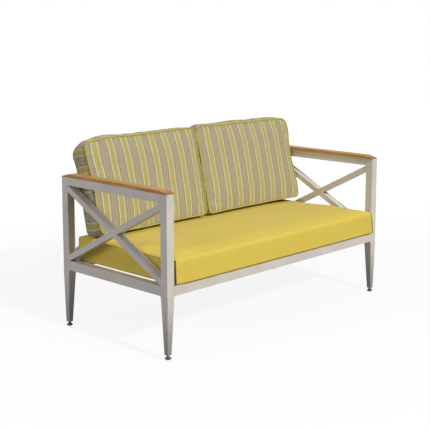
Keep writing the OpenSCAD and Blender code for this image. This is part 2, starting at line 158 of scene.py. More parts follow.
class Graph:
    """The node tree of one material or of the world."""

    def __init__(self, tree: bpy.types.NodeTree) -> None:
        """Empties the tree."""
        tree.nodes.clear()
        self.tree = tree

    def node(self, kind: str, settings: dict, sockets: dict, output: int | str = 0) -> Signal | None:
        """Adds a node.

        Args:
            kind: The node's type.
            settings: Its own settings, set first. "stops" gives a ramp's (place, colour) pairs.
            sockets: Values or signals by socket name or number.
            output: The socket that is handed on.

        Returns:
            The output as a signal, or None for a node without outputs.
        """
        made = self.tree.nodes.new(kind)
        for key, value in settings.items():
            if key == "stops":
                elements = made.color_ramp.elements
                while len(elements) < len(value):
                    elements.new(1)
                for element, (place, colour) in zip(elements, value):
                    element.position = place
                    element.color = colour
            else:
                setattr(made, key, value)
        for key, value in sockets.items():
            if isinstance(value, Signal):
                self.tree.links.new(value.socket, made.inputs[key])
            else:
                made.inputs[key].default_value = value
        return Signal(self, made.outputs[output]) if len(made.outputs) else None

    def math(self, operation: str, *values: Number) -> Signal:
        """A Math node on values."""
        return self.node("ShaderNodeMath", {"operation": operation}, dict(enumerate(values)))

    def blend(self, share: Number, first: Signal | Colour, second: Signal | Colour) -> Signal:
        """The first colour mixed with a share of the second."""
        return self.node("ShaderNodeMix", {"data_type": "RGBA"}, {0: share, 6: first, 7: second}, 2)

    def layered(self, base: Signal | Colour, layers: Sequence[tuple[Number, Colour]]) -> Signal:
        """A colour with others mixed over it in turn, each by its share."""
        for share, colour in layers:
            base = self.blend(share, base, colour)
        return base

    def ramp(self, share: Signal, stops: Sequence[tuple[float, Colour]]) -> Signal:
        """Colour that a ramp gives at share."""
        return self.node("ShaderNodeValToRGB", {"stops": stops}, {0: share})

    def place(self) -> Signal:
        """Object coordinates, which are the model's own."""
        return self.node("ShaderNodeTexCoord", {}, {}, "Object")

    def split(self, vector: Signal) -> tuple[Signal, Signal, Signal]:
        """The three parts of a vector."""
        outputs = self.node("ShaderNodeSeparateXYZ", {}, {0: vector}).socket.node.outputs
        return Signal(self, outputs[0]), Signal(self, outputs[1]), Signal(self, outputs[2])

    def join(self, x: Number, y: Number, z: Number = 0.0) -> Signal:
        """A vector from three values."""
        return self.node("ShaderNodeCombineXYZ", {}, {0: x, 1: y, 2: z})

    def cloth(self) -> tuple[Signal, Signal]:
        """Places along and across the cloth, in metres, from the piece's own map."""
        along, across, _ = self.split(self.node("ShaderNodeUVMap", {"uv_map": CLOTH_MAP}, {}))
        return along, across

    def noise(self, vector: Signal, scale: float, detail: float = 2.0, twist: float = 0.0) -> Signal:
        """Soft noise from 0 to 1 with features of 1 / scale."""
        sockets = {"Vector": vector, "Scale": scale, "Detail": detail, "Distortion": twist}
        return self.node("ShaderNodeTexNoise", {}, sockets)

    def bump(self, height: Signal, depth: float) -> Signal:
        """Normal of a surface that rises by depth where height is 1."""
        return self.node("ShaderNodeBump", {}, {"Height": height, "Distance": depth, "Strength": 1.0})

    def surface(self, sockets: dict) -> None:
        """Ends the material with one Principled shader."""
        shader = self.node("ShaderNodeBsdfPrincipled", {}, sockets)
        self.node("ShaderNodeOutputMaterial", {}, {"Surface": shader})


# Finishes


@dataclass(frozen=True)
class Finish:
    """How one material of the bench looks."""

    name: str
    slot: str

    def compose(self, graph: Graph) -> None:
        """Fills the material's graph."""
        raise NotImplementedError


@lru_cache(maxsize=None)
def material_of(finish: Finish) -> bpy.types.Material:
    """The material of a finish, made once."""
    material = bpy.data.materials.new(finish.name)
    material.use_nodes = True
    finish.compose(Graph(material.node_tree))
    return material


@dataclass(frozen=True)
class Grain:
    """A noise in a finish: its scale, or one for each part of a place, and the range over which it shows."""

    scales: tuple[float, ...]
    detail: float
    low: float = 0.0
    high: float = 1.0
    twist: float = 0.0

    def tone(self, graph: Graph, *place: Signal) -> Signal:
        """The noise, from 0 to 1, at a place given whole for one scale and in parts for several."""
        if len(self.scales) == 1:
            return graph.noise(place[0], self.scales[0], self.detail, self.twist)
        parts = (part * scale for part, scale in zip(place, self.scales))
        return graph.noise(graph.join(*parts), 1, self.detail, self.twist)

    def shown(self, tone: Signal) -> Signal:
        """A tone as a mask that rises smoothly over the range."""
        return tone.ramped(self.low, self.high)

    def mask(self, graph: Graph, *place: Signal) -> Signal:
        """The noise at a place as such a mask."""
        return self.shown(self.tone(graph, *place))


@dataclass(frozen=True)
class SatinPaint(Finish):
    """Baked powder paint on metal: fine orange peel, soft blotches, dust towards the floor.

    With a share of painted shade, as on the cast legs, it also darkens towards the foot, standing in for the
    lesser light near the floor. Heights are above the floor.
    """

    colour: Colour = srgb(214, 208, 197)
    shade: Colour = srgb(197, 190, 178)
    dust: Colour = srgb(171, 161, 143)
    # colour of the painted shade that darkens the paint towards the foot
    foot: Colour = srgb(143, 141, 137)
    foot_share: float = 0.0
    foot_heights: tuple[float, float] = (0.02, 0.27)
    dust_heights: tuple[float, float] = (0.02, 0.2)
    drift: Grain = Grain((7,), 3, 0.35, 0.7)
    speck: Grain = Grain((320,), 2, 0.66, 0.8)
    dusting: Grain = Grain((45,), 4, 0.42, 0.75)
    peel: float = 900.0
    peel_depth: float = 0.00006
    roughness: float = 0.4

    def compose(self, graph: Graph) -> None:
        """Base colour drifts between two greys, darkens towards the foot with painted shade, and peel lifts
        the normal.
        """
        place = graph.place()
        height = graph.split(place)[2]
        drift, speck = self.drift.mask(graph, place), self.speck.mask(graph, place)
        low = (1 - height.ramped(*self.dust_heights)) * self.dusting.mask(graph, place)
        layers = [(drift * 0.55, self.shade), (speck * 0.18, self.shade), (low * 0.3, self.dust)]
        if self.foot_share:
            # painted shade: darker towards the floor, standing in for the lesser light low on the legs
            layers.append(((1 - height.ramped(*self.foot_heights)) * self.foot_share, self.foot))
        peel = graph.noise(place, self.peel, 1) + graph.noise(place, self.peel / 6, 2) * 0.6
        graph.surface({
            "Base Color": graph.layered(self.colour, layers),
            "Roughness": self.roughness + drift * 0.07 + low * 0.2,
            "Normal": graph.bump(peel, self.peel_depth), "Coat Weight": 0.12, "Coat Roughness": 0.25,
        })


@dataclass(frozen=True)
class OiledTeak(Finish):
    """Oiled teak that has weathered a little: long grain, pores, worn top, and ends that took more oil."""

    light: Colour = srgb(206, 158, 84)
    middle: Colour = srgb(180, 131, 66)
    dark: Colour = srgb(124, 84, 40)
    pore: Colour = srgb(82, 54, 26)
    worn: Colour = srgb(196, 166, 112)
    bending: Grain = Grain((26, 2.2, 26), 3, twist=0.6)
    fibres: Grain = Grain((1500, 22, 1500), 3)
    pores: Grain = Grain((2300, 60, 2300), 1, 0.63, 0.74)
    blotches: Grain = Grain((18, 5, 18), 2, 0.4, 0.75)
    wear: Grain = Grain((90, 14, 90), 4, 0.45, 0.8)
    band_pitch: float = 0.0105
    relief_depth: float = 0.00025
    worn_heights: tuple[float, float] = (0.6765, 0.6798)
    middle_y: float = 0.007
    ends: tuple[float, float] = (0.283, 0.322)

    def compose(self, graph: Graph) -> None:
        """Grain runs along Y: growth bands are a sine of a bent place across, pores are long thin noise."""
        x, y, z = place = graph.split(graph.place())
        bend, fibre = self.bending.tone(graph, *place), self.fibres.tone(graph, *place)
        bands = (x + z * 0.7 + bend * 0.05).wave(self.band_pitch) * 0.5 + 0.5
        tone = bands * 0.36 + fibre * 0.52 + 0.06
        pores = self.pores.mask(graph, *place)
        wear = self.wear.shown(z.ramped(*self.worn_heights) * self.wear.tone(graph, *place))
        wood = graph.ramp(tone, [(0.12, self.dark), (0.45, self.middle), (0.85, self.light)])
        wood = graph.layered(wood, [
            (self.blotches.mask(graph, *place) * 0.35, self.light), (pores * 0.55, self.pore),
            (wear * 0.3, self.worn), (abs(y - self.middle_y).ramped(*self.ends) * 0.75, self.dark),
        ])
        relief = fibre * 0.5 - pores + bands * 0.3
        graph.surface({
            "Base Color": wood, "Roughness": 0.52 + pores * 0.25 + fibre * 0.12,
            "Normal": graph.bump(relief, self.relief_depth), "Coat Weight": 0.05, "Coat Roughness": 0.4,
        })


@dataclass(frozen=True)
class Weave(Finish):
    """Woven outdoor cloth, its yarns crossing at an even pitch."""

    pitch: float = 0.0015
    relief_depth: float = 0.0003
    sheen: float = 0.1

    def woven(
        self, graph: Graph, cloth: Signal, rough: Signal, along: Signal, across: Signal, yarns: Signal
    ) -> None:
        """Ends the material: the weave is a product of two sines, and the yarns' own relief is added."""
        relief = (along.wave(self.pitch) * across.wave(self.pitch) * 0.5 + 0.5) * 0.7 + yarns
        graph.surface({
            "Base Color": cloth, "Roughness": rough, "Normal": graph.bump(relief, self.relief_depth),
            "Sheen Weight": self.sheen, "Sheen Roughness": 0.5, "Specular IOR Level": 0.3,
        })


@dataclass(frozen=True)
class StripedWeave(Weave):
    """Cloth with lime, cream and taupe warp stripes."""

    pitch: float = 0.0016
    relief_depth: float = 0.00032
    sheen: float = 0.12
    period: float = 0.081
    lime: Colour = srgb(182, 175, 104)
    lime_heart: Colour = srgb(174, 168, 97)
    cream: Colour = srgb(216, 207, 170)
    taupe_edge: Colour = srgb(152, 141, 136)
    taupe: Colour = srgb(171, 159, 132)
    taupe_heart: Colour = srgb(168, 158, 120)
    strays: tuple[tuple[Grain, float], ...] = (
        (Grain((3, 5), 0), 0.008), (Grain((8, 17), 0), 0.0035), (Grain((260, 140), 1), 0.0016),
    )
    warp: Grain = Grain((1250, 38), 2, 0.5, 0.8)
    weft: Grain = Grain((46, 980), 2, 0.52, 0.8)
    heather: Grain = Grain((420, 150), 3, 0.55, 0.8)
    mottle: Grain = Grain((130, 34), 3, 0.5, 0.72)
    pale_mottle: tuple[float, float] = (0.3, 0.5)

    def stops(self) -> list[tuple[float, Colour]]:
        """Colours from the middle of a lime stripe, at 0, to the middle of a taupe one, at 1.

        A band runs from its start to its end, in millimetres from the middle of the lime stripe.
        """
        bands = [
            (0.0, 2.6, self.lime_heart), (5.0, 12.2, self.lime), (13.8, 17.2, self.cream),
            (19.4, 23.5, self.taupe_edge), (27.0, 34.0, self.taupe), (38.0, 40.5, self.taupe_heart),
        ]
        half = self.period / 2 * 1000
        return [(place / half, colour) for start, end, colour in bands for place in (start, end)]

    def compose(self, graph: Graph) -> None:
        """The map's first place gives the stripe, by its distance from the nearest stripe's middle."""
        along, across = place = graph.cloth()
        strayed = along
        for grain, size in self.strays:
            strayed = strayed + (grain.tone(graph, *place) - 0.5) * size
        share = (strayed / self.period + 0.5).fract()
        grains = (self.warp, self.weft, self.heather, self.mottle)
        warp, weft, heather, mottle = (one.tone(graph, *place) for one in grains)
        cloth = graph.layered(graph.ramp(abs(share - 0.5) * 2, self.stops()), [
            (self.mottle.shown(mottle) * 0.34, self.taupe_edge),
            ((1 - mottle.ramped(*self.pale_mottle)) * 0.4, self.lime),
            (self.warp.shown(warp) * 0.3, self.taupe_edge),
            (self.weft.shown(weft) * 0.34, self.cream),
            (self.heather.shown(heather) * 0.28, self.lime),
        ])
        self.woven(graph, cloth, 0.84 + heather * 0.12, along, across, warp * 0.5 + weft * 0.4)


@dataclass(frozen=True)
class PlainWeave(Weave):
    """Plain canvas with a little heather in its yarn. Cut on the bias, as for piping, its yarns slant."""

    colour: Colour = srgb(224, 200, 84)
    deep: Colour = srgb(206, 180, 62)
    pale: Colour = srgb(232, 213, 112)
    slant: float = 0.0
    warp: Grain = Grain((1100, 50), 2, 0.42, 0.8)
    weft: Grain = Grain((50, 1100), 2, 0.5, 0.8)
    patches: Grain = Grain((6.25, 7), 4, 0.45, 0.75)
    patch: Colour = srgb(206, 180, 62)
    patch_share: float = 0.16

    def compose(self, graph: Graph) -> None:
        """Yarn tones are long thin noise both ways, and soft patches lie over them."""
        along, across = graph.cloth()
        first, second = along + across * self.slant, across - along * self.slant
        warp, weft = (one.tone(graph, first, second) for one in (self.warp, self.weft))
        patches = self.patches.tone(graph, along, across)
        cloth = graph.layered(self.colour, [
            (self.warp.shown(warp) * 0.4, self.deep), (self.weft.shown(weft) * 0.35, self.pale),
            (self.patches.shown(patches) * self.patch_share, self.patch),
        ])
        self.woven(graph, cloth, 0.86 + patches * 0.1, first, second, (warp + weft) * 0.45)


@dataclass(frozen=True)
class MouldedNylon(Finish):
    """Dark moulded nylon, scuffed where it meets the floor."""

    colour: Colour = srgb(74, 73, 72)
    scuff: Colour = srgb(132, 128, 120)
    mould: Grain = Grain((1400,), 2)
    scuffs: Grain = Grain((380,), 3, 0.5, 0.7)
    scuff_heights: tuple[float, float] = (0.001, 0.007)
    relief_depth: float = 0.00008

    def compose(self, graph: Graph) -> None:
        """Fine mould grain, with pale scuffs low down."""
        place = graph.place()
        grain = self.mould.tone(graph, place)
        scuff = (1 - graph.split(place)[2].ramped(*self.scuff_heights)) * self.scuffs.mask(graph, place)
        layers = [(scuff * 0.5, self.scuff), (grain * 0.15, self.scuff)]
        graph.surface({
            "Base Color": graph.layered(self.colour, layers), "Roughness": 0.34 + grain * 0.12 + scuff * 0.3,
            "Normal": graph.bump(grain, self.relief_depth),
        })


@dataclass(frozen=True)
class PlatedSteel(Finish):
    """Zinc-plated steel with fine turning marks and dull patches."""

    colour: Colour = srgb(176, 176, 172)
    dull: Colour = srgb(120, 118, 112)
    patches: Grain = Grain((240,), 3, 0.42, 0.7)
    marks: Grain = Grain((60, 60, 5200), 2)
    relief_depth: float = 0.00004

    def compose(self, graph: Graph) -> None:
        """Turning marks are noise stretched round the vertical axis."""
        place = graph.place()
        patch = self.patches.mask(graph, place)
        marks = self.marks.tone(graph, *graph.split(place))
        graph.surface({
            "Base Color": graph.blend(patch * 0.6, self.colour, self.dull), "Metallic": 1.0,
            "Roughness": 0.26 + patch * 0.2 + marks * 0.1, "Normal": graph.bump(marks, self.relief_depth),
        })


@dataclass(frozen=True)
class OpenFoam(Finish):
    """Open-cell cushion foam."""

    colour: Colour = srgb(236, 226, 184)
    cell: Colour = srgb(196, 180, 128)
    cell_scale: float = 520.0
    drift: Grain = Grain((12,), 3)
    relief_depth: float = 0.0006

    def compose(self, graph: Graph) -> None:
        """Cells are the distance to scattered points."""
        place = graph.place()
        cells = graph.node("ShaderNodeTexVoronoi", {}, {"Vector": place, "Scale": self.cell_scale})
        drift = self.drift.tone(graph, place)
        layers = [(cells.ramped(0.1, 0.6) * 0.7, self.colour), (drift * 0.2, self.cell)]
        graph.surface({
            "Base Color": graph.layered(self.cell, layers), "Roughness": 0.95,
            "Normal": graph.bump(cells, self.relief_depth),
        })


@dataclass(frozen=True)
class ZipNylon(Finish):
    """Moulded zip teeth and slider in a cloth colour."""

    colour: Colour = srgb(196, 174, 70)
    deep: Colour = srgb(150, 128, 44)
    drift: Grain = Grain((260,), 2)
    mould: Grain = Grain((2400,), 1)
    relief_depth: float = 0.00003

    def compose(self, graph: Graph) -> None:
        """Slight tone changes from tooth to tooth."""
        place = graph.place()
        tone = self.drift.tone(graph, place)
        graph.surface({
            "Base Color": graph.blend(tone, self.deep, self.colour), "Roughness": 0.42 + tone * 0.1,
            "Normal": graph.bump(self.mould.tone(graph, place), self.relief_depth),
        })


PAINT = SatinPaint("satin_frame_paint", "frame_paint")
# The cast legs' paint carries painted shade that darkens it towards the foot.
CAST_PAINT = SatinPaint(
    "satin_cast_paint", "frame_paint", peel=420.0, peel_depth=0.00014, roughness=0.44, foot_share=0.95
)
DECK_PAINT = SatinPaint(
    "satin_deck_paint", "deck_paint", colour=srgb(206, 200, 188), shade=srgb(186, 179, 166)
)
TEAK = OiledTeak("oiled_teak", "teak")
STRIPES = StripedWeave("striped_weave", "stripe_fabric")
CANVAS = PlainWeave("plain_weave", "seat_fabric")
PIPING = PlainWeave(
    "piping_weave", "stripe_fabric", colour=srgb(190, 185, 76), deep=srgb(168, 156, 60),
    pale=srgb(208, 204, 120), slant=1.0, patches=Grain((11.111, 7), 4, 0.45, 0.75),
    patch=srgb(200, 162, 72), patch_share=0.75,
)
# Brown canvas whose darkness is painted shade, for welts set in the shadowed gaps round the seat cushion's
# front.
PAINTED_SHADE_CANVAS = PlainWeave(
    "shaded_plain_weave", "seat_fabric", colour=srgb(122, 84, 36), deep=srgb(100, 66, 28),
    pale=srgb(160, 122, 52),
)
NYLON = MouldedNylon("moulded_nylon", "glide_plastic")
STEM_STEEL = PlatedSteel("plated_stem_steel", "glide_steel")
SCREW_STEEL = PlatedSteel("plated_screw_steel", "screw_steel")
FOAM = OpenFoam("open_foam", "foam")
ZIP_NYLON = ZipNylon("zip_nylon", "seat_fabric")


# Meshes


def add_piece(
    name: str, points: Array, faces: Sequence[Array], finish: Finish, body: str, cloth: Array | None = None
) -> bpy.types.Object:
    """Adds a smooth mesh that rides on a body.

    Args:
        name: Name of the piece.
        points: Corner places, one row each.
        faces: Sets of faces, each an array with one face per row.
        finish: Its finish.
        body: The body that it rides on.
        cloth: Places on the cloth for every face corner, in the order of the faces.

    Returns:
        The new object, at the origin.
    """
    mesh = bpy.data.meshes.new(name)
    sizes = np.concatenate([np.full(len(one), one.shape[1]) for one in faces])
    corners = np.concatenate([one.ravel() for one in faces])
    mesh.vertices.add(len(points))
    mesh.vertices.foreach_set("co", np.ascontiguousarray(points, np.float32).ravel())
    mesh.loops.add(len(corners))
    mesh.loops.foreach_set("vertex_index", corners.astype(np.int32))
    mesh.polygons.add(len(sizes))
    mesh.polygons.foreach_set("loop_start", np.concatenate(([0], np.cumsum(sizes)[:-1])).astype(np.int32))
    mesh.update(calc_edges=True)
    mesh.polygons.foreach_set("use_smooth", np.ones(len(sizes), bool))
    if cloth is not None:
        layer = mesh.uv_layers.new(name=CLOTH_MAP)
        layer.data.foreach_set("uv", np.ascontiguousarray(cloth, np.float32).ravel())
    mesh.validate()
    mesh.materials.append(material_of(finish))
    piece = bpy.data.objects.new(name, mesh)
    bpy.context.scene.collection.objects.link(piece)
    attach(piece, body)
    LOG.info("%s: %d faces on %s", name, len(sizes), body)
    return piece


def unit(vectors: Array) -> Array:
    """Rows scaled to length 1."""
    return vectors / np.maximum(np.linalg.norm(vectors, axis=-1, keepdims=True), 1e-12)


def grid_faces(rows: int, columns: int, closed_rows: bool, closed_columns: bool) -> Array:
    """Quads of a grid of points, row by row, that may close on itself either way."""
    r = np.arange(rows if closed_rows else rows - 1)[:, None]
    c = np.arange(columns if closed_columns else columns - 1)[None, :]
    r_next, c_next = (r + 1) % rows, (c + 1) % columns
    corners = [r * columns + c, r * columns + c_next, r_next * columns + c_next, r_next * columns + c]
    return np.stack(np.broadcast_arrays(*corners), -1).reshape(-1, 4)


def sweep(path: Array, normal: Array, profile: Array, closed: bool) -> tuple[Array, list[Array], Array]:
    """Carries a closed profile along a path.

    A point is the path's point plus a times the side plus b times the normal, where (a, b) is the profile's
    point and the side is the tangent crossed with the normal.

    Args:
        path: Points of the path.
        normal: Direction of the profile's second axis at each.
        profile: (a, b) places round the profile.
        closed: Whether the path closes on itself.

    Returns:
        Points, face sets and the cloth places of every face corner.
    """
    ahead = np.roll(path, -1, 0) - np.roll(path, 1, 0)
    if not closed:
        ahead[0], ahead[-1] = path[1] - path[0], path[-1] - path[-2]
    tangent = unit(ahead)
    side = unit(np.cross(tangent, normal))
    lift = np.cross(side, tangent)
    points = path[:, None] + profile[None, :, :1] * side[:, None] + profile[None, :, 1:] * lift[:, None]
    n, m = len(path), len(profile)
    quads = grid_faces(n, m, closed, True)
    steps = np.linalg.norm(np.roll(path, -1, 0) - path, axis=1)
    along = np.concatenate(([0], np.cumsum(steps)))
    girth = np.concatenate(([0], np.cumsum(np.linalg.norm(np.roll(profile, -1, 0) - profile, axis=1))))
    row, column = np.divmod(np.arange(len(quads)), m)
    cloth = np.stack([
        np.stack([along[row], girth[column]], -1), np.stack([along[row], girth[column + 1]], -1),
        np.stack([along[row + 1], girth[column + 1]], -1), np.stack([along[row + 1], girth[column]], -1),
    ], 1)
    faces = [quads]
    flat = points.reshape(-1, 3)
    if not closed:
        caps = np.stack([np.arange(m)[::-1], (n - 1) * m + np.arange(m)])
        faces.append(caps)
        cap_cloth = np.broadcast_to(profile[None], (2, m, 2))
        cloth = np.concatenate([cloth.reshape(-1, 2), cap_cloth.reshape(-1, 2)])
    return flat, faces, cloth.reshape(-1, 2)


def outward(points: Array, faces: Sequence[Array]) -> bool:
    """Whether a closed skin's faces point outwards, by the sign of its volume."""
    total = 0.0
    for one in faces:
        for k in range(1, one.shape[1] - 1):
            a, b, c = points[one[:, 0]], points[one[:, k]], points[one[:, k + 1]]
            total += float(np.einsum("ij,ij->", a, np.cross(b, c)))
    return total > 0


def turned(faces: Sequence[Array], cloth: Array | None) -> tuple[list[Array], Array | None]:
    """The same faces pointing the other way, with their cloth places kept in step."""
    made, at, parts = [], 0, []
    for one in faces:
        made.append(one[:, ::-1])
        if cloth is not None:
            parts.append(cloth[at:at + one.size].reshape(len(one), -1, 2)[:, ::-1].reshape(-1, 2))
        at += one.size
    return made, None if cloth is None else np.concatenate(parts)


def add_sweep(
    name: str, path: Array, normal: Array, profile: Array, closed: bool, finish: Finish, body: str
) -> bpy.types.Object:
    """Adds a profile carried along a path, its faces outwards. See sweep for the arguments."""
    points, faces, cloth = sweep(path, normal, profile, closed)
    if not outward(points, faces):
        faces, cloth = turned(faces, cloth)
    return add_piece(name, points, faces, finish, body, cloth)


def round_profile(radius: float, steps: int, flat: float = 1.0) -> Array:
    """Points round a circle, flattened along its second axis."""
    angle = np.arange(steps) / steps * TURN
    return np.stack([radius * np.cos(angle), radius * flat * np.sin(angle)], -1)


def add_lathe(
    name: str, centre: tuple[float, float], profile: Array, steps: int, finish: Finish, body: str,
    ripple: Callable[[Array, Array], Array] | None = None,
) -> bpy.types.Object:
    """Adds a turned piece on a vertical axis.

    A point at angle t and step k is the centre plus radius k times (cos t, sin t), at height k. The first and
    last steps close on the axis.

    Args:
        name: Name of the piece.
        centre: The axis' X and Y.
        profile: (radius, height) from the lower end to the upper.
        steps: Points round the axis.
        finish: Its finish.
        body: The body that it rides on.
        ripple: Gives what is added to the radius, from angle and height.

    Returns:
        The new object.
    """
    angle = np.arange(steps)[None, :] / steps * TURN
    radius = np.broadcast_to(profile[:, :1], (len(profile), steps)).copy()
    height = np.broadcast_to(profile[:, 1:], (len(profile), steps))
    if ripple is not None:
        radius += ripple(angle, height)
    ring = np.stack([centre[0] + radius * np.cos(angle), centre[1] + radius * np.sin(angle), height], -1)
    ends = np.array([[*centre, profile[0, 1]], [*centre, profile[-1, 1]]])
    points = np.concatenate([ring.reshape(-1, 3), ends])
    first, last = len(points) - 2, len(points) - 1
    c = np.arange(steps)
    c_next, top = (c + 1) % steps, (len(profile) - 1) * steps
    low_end = np.stack([np.full(steps, first), c_next, c], -1)
    high_end = np.stack([np.full(steps, last), top + c, top + c_next], -1)
    faces = [grid_faces(len(profile), steps, False, True), low_end, high_end]
    return add_piece(name, points, faces, finish, body)


def add_copies(
    name: str, block: Array, quads: Array, places: Array, axes: Array, finish: Finish, body: str
) -> bpy.types.Object:
    """Adds one small block many times: each copy is its place plus the block's points along its three axes.

    Args:
        name: Name of the piece.
        block: The block's points.
        quads: Its faces.
        places: Where the copies are.
        axes: For each copy, its three axes as rows.
        finish: Their finish.
        body: The body that they ride on.

    Returns:
        The new object, all copies in one mesh.
    """
    points = (places[:, None] + np.einsum("pk,nkj->npj", block, axes)).reshape(-1, 3)
    faces = (quads[None] + len(block) * np.arange(len(places))[:, None, None]).reshape(-1, quads.shape[1])
    return add_piece(name, points, [faces], finish, body, np.zeros((faces.size, 2)))


def stitch_block(length: float, radius: float) -> tuple[Array, Array]:
    """A stitch: six-sided rings on a line of the length, their radius and rise growing as sin(pi t)."""
    t, angle = np.meshgrid(np.linspace(0, 1, 4), np.arange(6) / 6 * TURN, indexing="ij")
    arch = np.sin(np.pi * t)
    swell = radius * (0.4 + 0.6 * arch)
    parts = [(t - 0.5) * length, swell * np.cos(angle), radius * 0.9 * arch + swell * np.sin(angle)]
    rings = np.stack(parts, -1).reshape(-1, 3)
    end = np.array([[0, 5, 4, 1], [1, 4, 3, 2]])
    quads = np.concatenate([grid_faces(4, 6, False, True), end, end[:, ::-1] + 18])
    return rings, quads if outward(rings, [quads]) else quads[:, ::-1]


# Cushions


@dataclass
class BoxedSkin:
    """A cushion's closed skin: two faces on one grid each and the boxing wall between their rims.

    The faces' grids run over p and q from -1 to 1. A point lies at (half_u p, half_v q), drawn on to the
    rounded corner of the rounded rectangle of its share, which is the larger of |p| and |q|. Each row of
    radii has that of the two lower corners and that of the two upper ones. A row of the wall is its distance
    in from the side and its height, and pull draws the middles of the sides in.
    """

    half_u: float
    half_v: float
    radii: Array
    cell: float
    wall: Array
    face_rise: Callable[[Array, Array], Array]
    back_rise: Callable[[Array, Array], Array]
    pull: Array
    p: Array = field(init=False)
    q: Array = field(init=False)
    rim: Array = field(init=False)
    rows: Array = field(init=False)

    def __post_init__(self) -> None:
        """Lays out the grid's shares, its rim and the numbers of the wall's points."""
        nu, nv = (int(round(2 * half / self.cell)) for half in (self.half_u, self.half_v))
        p, q = np.meshgrid(np.linspace(-1, 1, nu + 1), np.linspace(-1, 1, nv + 1), indexing="ij")
        self.p, self.q, self.nu, self.nv = p.ravel(), q.ravel(), nu, nv
        number = np.arange((nu + 1) * (nv + 1)).reshape(nu + 1, nv + 1)
        self.rim = np.concatenate([number[:-1, 0], number[-1, :-1], number[:0:-1, -1], number[0, :0:-1]])
        count, inner = number.size, len(self.wall) - 2
        middle = 2 * count + np.arange(inner * len(self.rim)).reshape(inner, -1)
        self.rows = np.concatenate([self.rim[None], middle, (self.rim + count)[None]])

    def outline(self, p: Array, q: Array, inset: float, pull: float, radius: Array) -> Array:
        """Places of shares on rounded rectangles that are smaller by inset, their sides drawn in by pull."""
        a, b = self.half_u - inset, self.half_v - inset
        share = np.maximum(np.maximum(np.abs(p), np.abs(q)), 1e-9)
        r = np.where(q > 0, radius[1], radius[0]) * share
        cx, cy = a * share - r, b * share - r
        x, y = np.abs(a * p), np.abs(b * q)
        dx, dy = np.maximum(x - cx, 0), np.maximum(y - cy, 0)
        corner = (dx > 0) & (dy > 0)
        fit = np.where(corner, r / np.maximum(np.hypot(dx, dy), 1e-12), 1.0)
        x, y = np.where(corner, cx + dx * fit, x), np.where(corner, cy + dy * fit, y)
        dent_x = pull * share * np.cos(np.pi / 2 * np.clip(y / np.maximum(cy, 1e-9), 0, 1))
        dent_y = pull * share * np.cos(np.pi / 2 * np.clip(x / np.maximum(cx, 1e-9), 0, 1))
        x = x - np.where(np.abs(p) >= np.abs(q), dent_x, 0) * (np.abs(p) / share) ** 2
        y = y - np.where(np.abs(q) >= np.abs(p), dent_y, 0) * (np.abs(q) / share) ** 2
        return np.stack([np.copysign(x, p), np.copysign(y, q)], -1)

    def points(self, rise: float = 1.0) -> Array:
        """All points, with the faces' crowns scaled by rise."""
        p, q = self.p, self.q
        (face_in, face_w), (back_in, back_w) = self.wall[0], self.wall[-1]
        face = self.outline(p, q, face_in, self.pull[0], self.radii[0])
        back = self.outline(p, q, back_in, self.pull[-1], self.radii[-1])
        top = face_w + rise * self.face_rise(p, q)
        low = back_w - rise * self.back_rise(p, q)
        rim_p, rim_q = p[self.rim], q[self.rim]
        sides = [
            np.column_stack([self.outline(rim_p, rim_q, inset, pull, radius), np.full(len(self.rim), w)])
            for (inset, w), pull, radius in zip(self.wall[1:-1], self.pull[1:-1], self.radii[1:-1])
        ]
        return np.concatenate([np.column_stack([face, top]), np.column_stack([back, low]), *sides])

    def faces(self) -> Array:
        """Quads of the face, of the back and of the boxing, all outwards."""
        face = grid_faces(self.nu + 1, self.nv + 1, False, False)[:, ::-1]
        back = face[:, ::-1] + len(self.p)
        upper, lower = self.rows[:-1], self.rows[1:]
        wall = np.stack([upper, lower, np.roll(lower, -1, 1), np.roll(upper, -1, 1)], -1)
        return np.concatenate([face, back, wall.reshape(-1, 4)])

    def cloth(self, shift: float) -> Array:
        """Cloth places of every face corner.

        On the two faces they are u and v. On the boxing the first follows the rim and equals u along the top,
        and the second goes across the wall. shift is taken off the first.
        """
        count = len(self.p)
        flat, rear = (self.outline(self.p, self.q, 0.0, 0.0, self.radii[row]) for row in (0, -1))
        rim = flat[self.rim]
        steps = np.linalg.norm(np.roll(rim, -1, 0) - rim, axis=1)
        along = np.concatenate(([0], np.cumsum(steps)))
        upper_middle = 1.5 * self.nu + self.nv
        along = np.interp(upper_middle, np.arange(len(along)), along) - along
        across = np.concatenate(([0], np.cumsum(np.linalg.norm(np.diff(self.wall, axis=0), axis=1))))
        quads = self.faces()
        n = self.nu * self.nv
        parts = [flat[quads[:n] % count], rear[quads[n:2 * n] % count]]
        k, m = np.meshgrid(np.arange(len(self.wall) - 1), np.arange(len(self.rim)), indexing="ij")
        corners = [(k, m), (k + 1, m), (k + 1, m + 1), (k, m + 1)]
        parts.append(np.stack([np.stack([along[j], across[i]], -1) for i, j in corners], 2).reshape(-1, 4, 2))
        made = np.concatenate(parts)
        made[..., 0] -= shift
        return made

    @property
    def back(self) -> Array:
        """Numbers of the back's points, its rim included."""
        return np.arange(len(self.p), 2 * len(self.p))


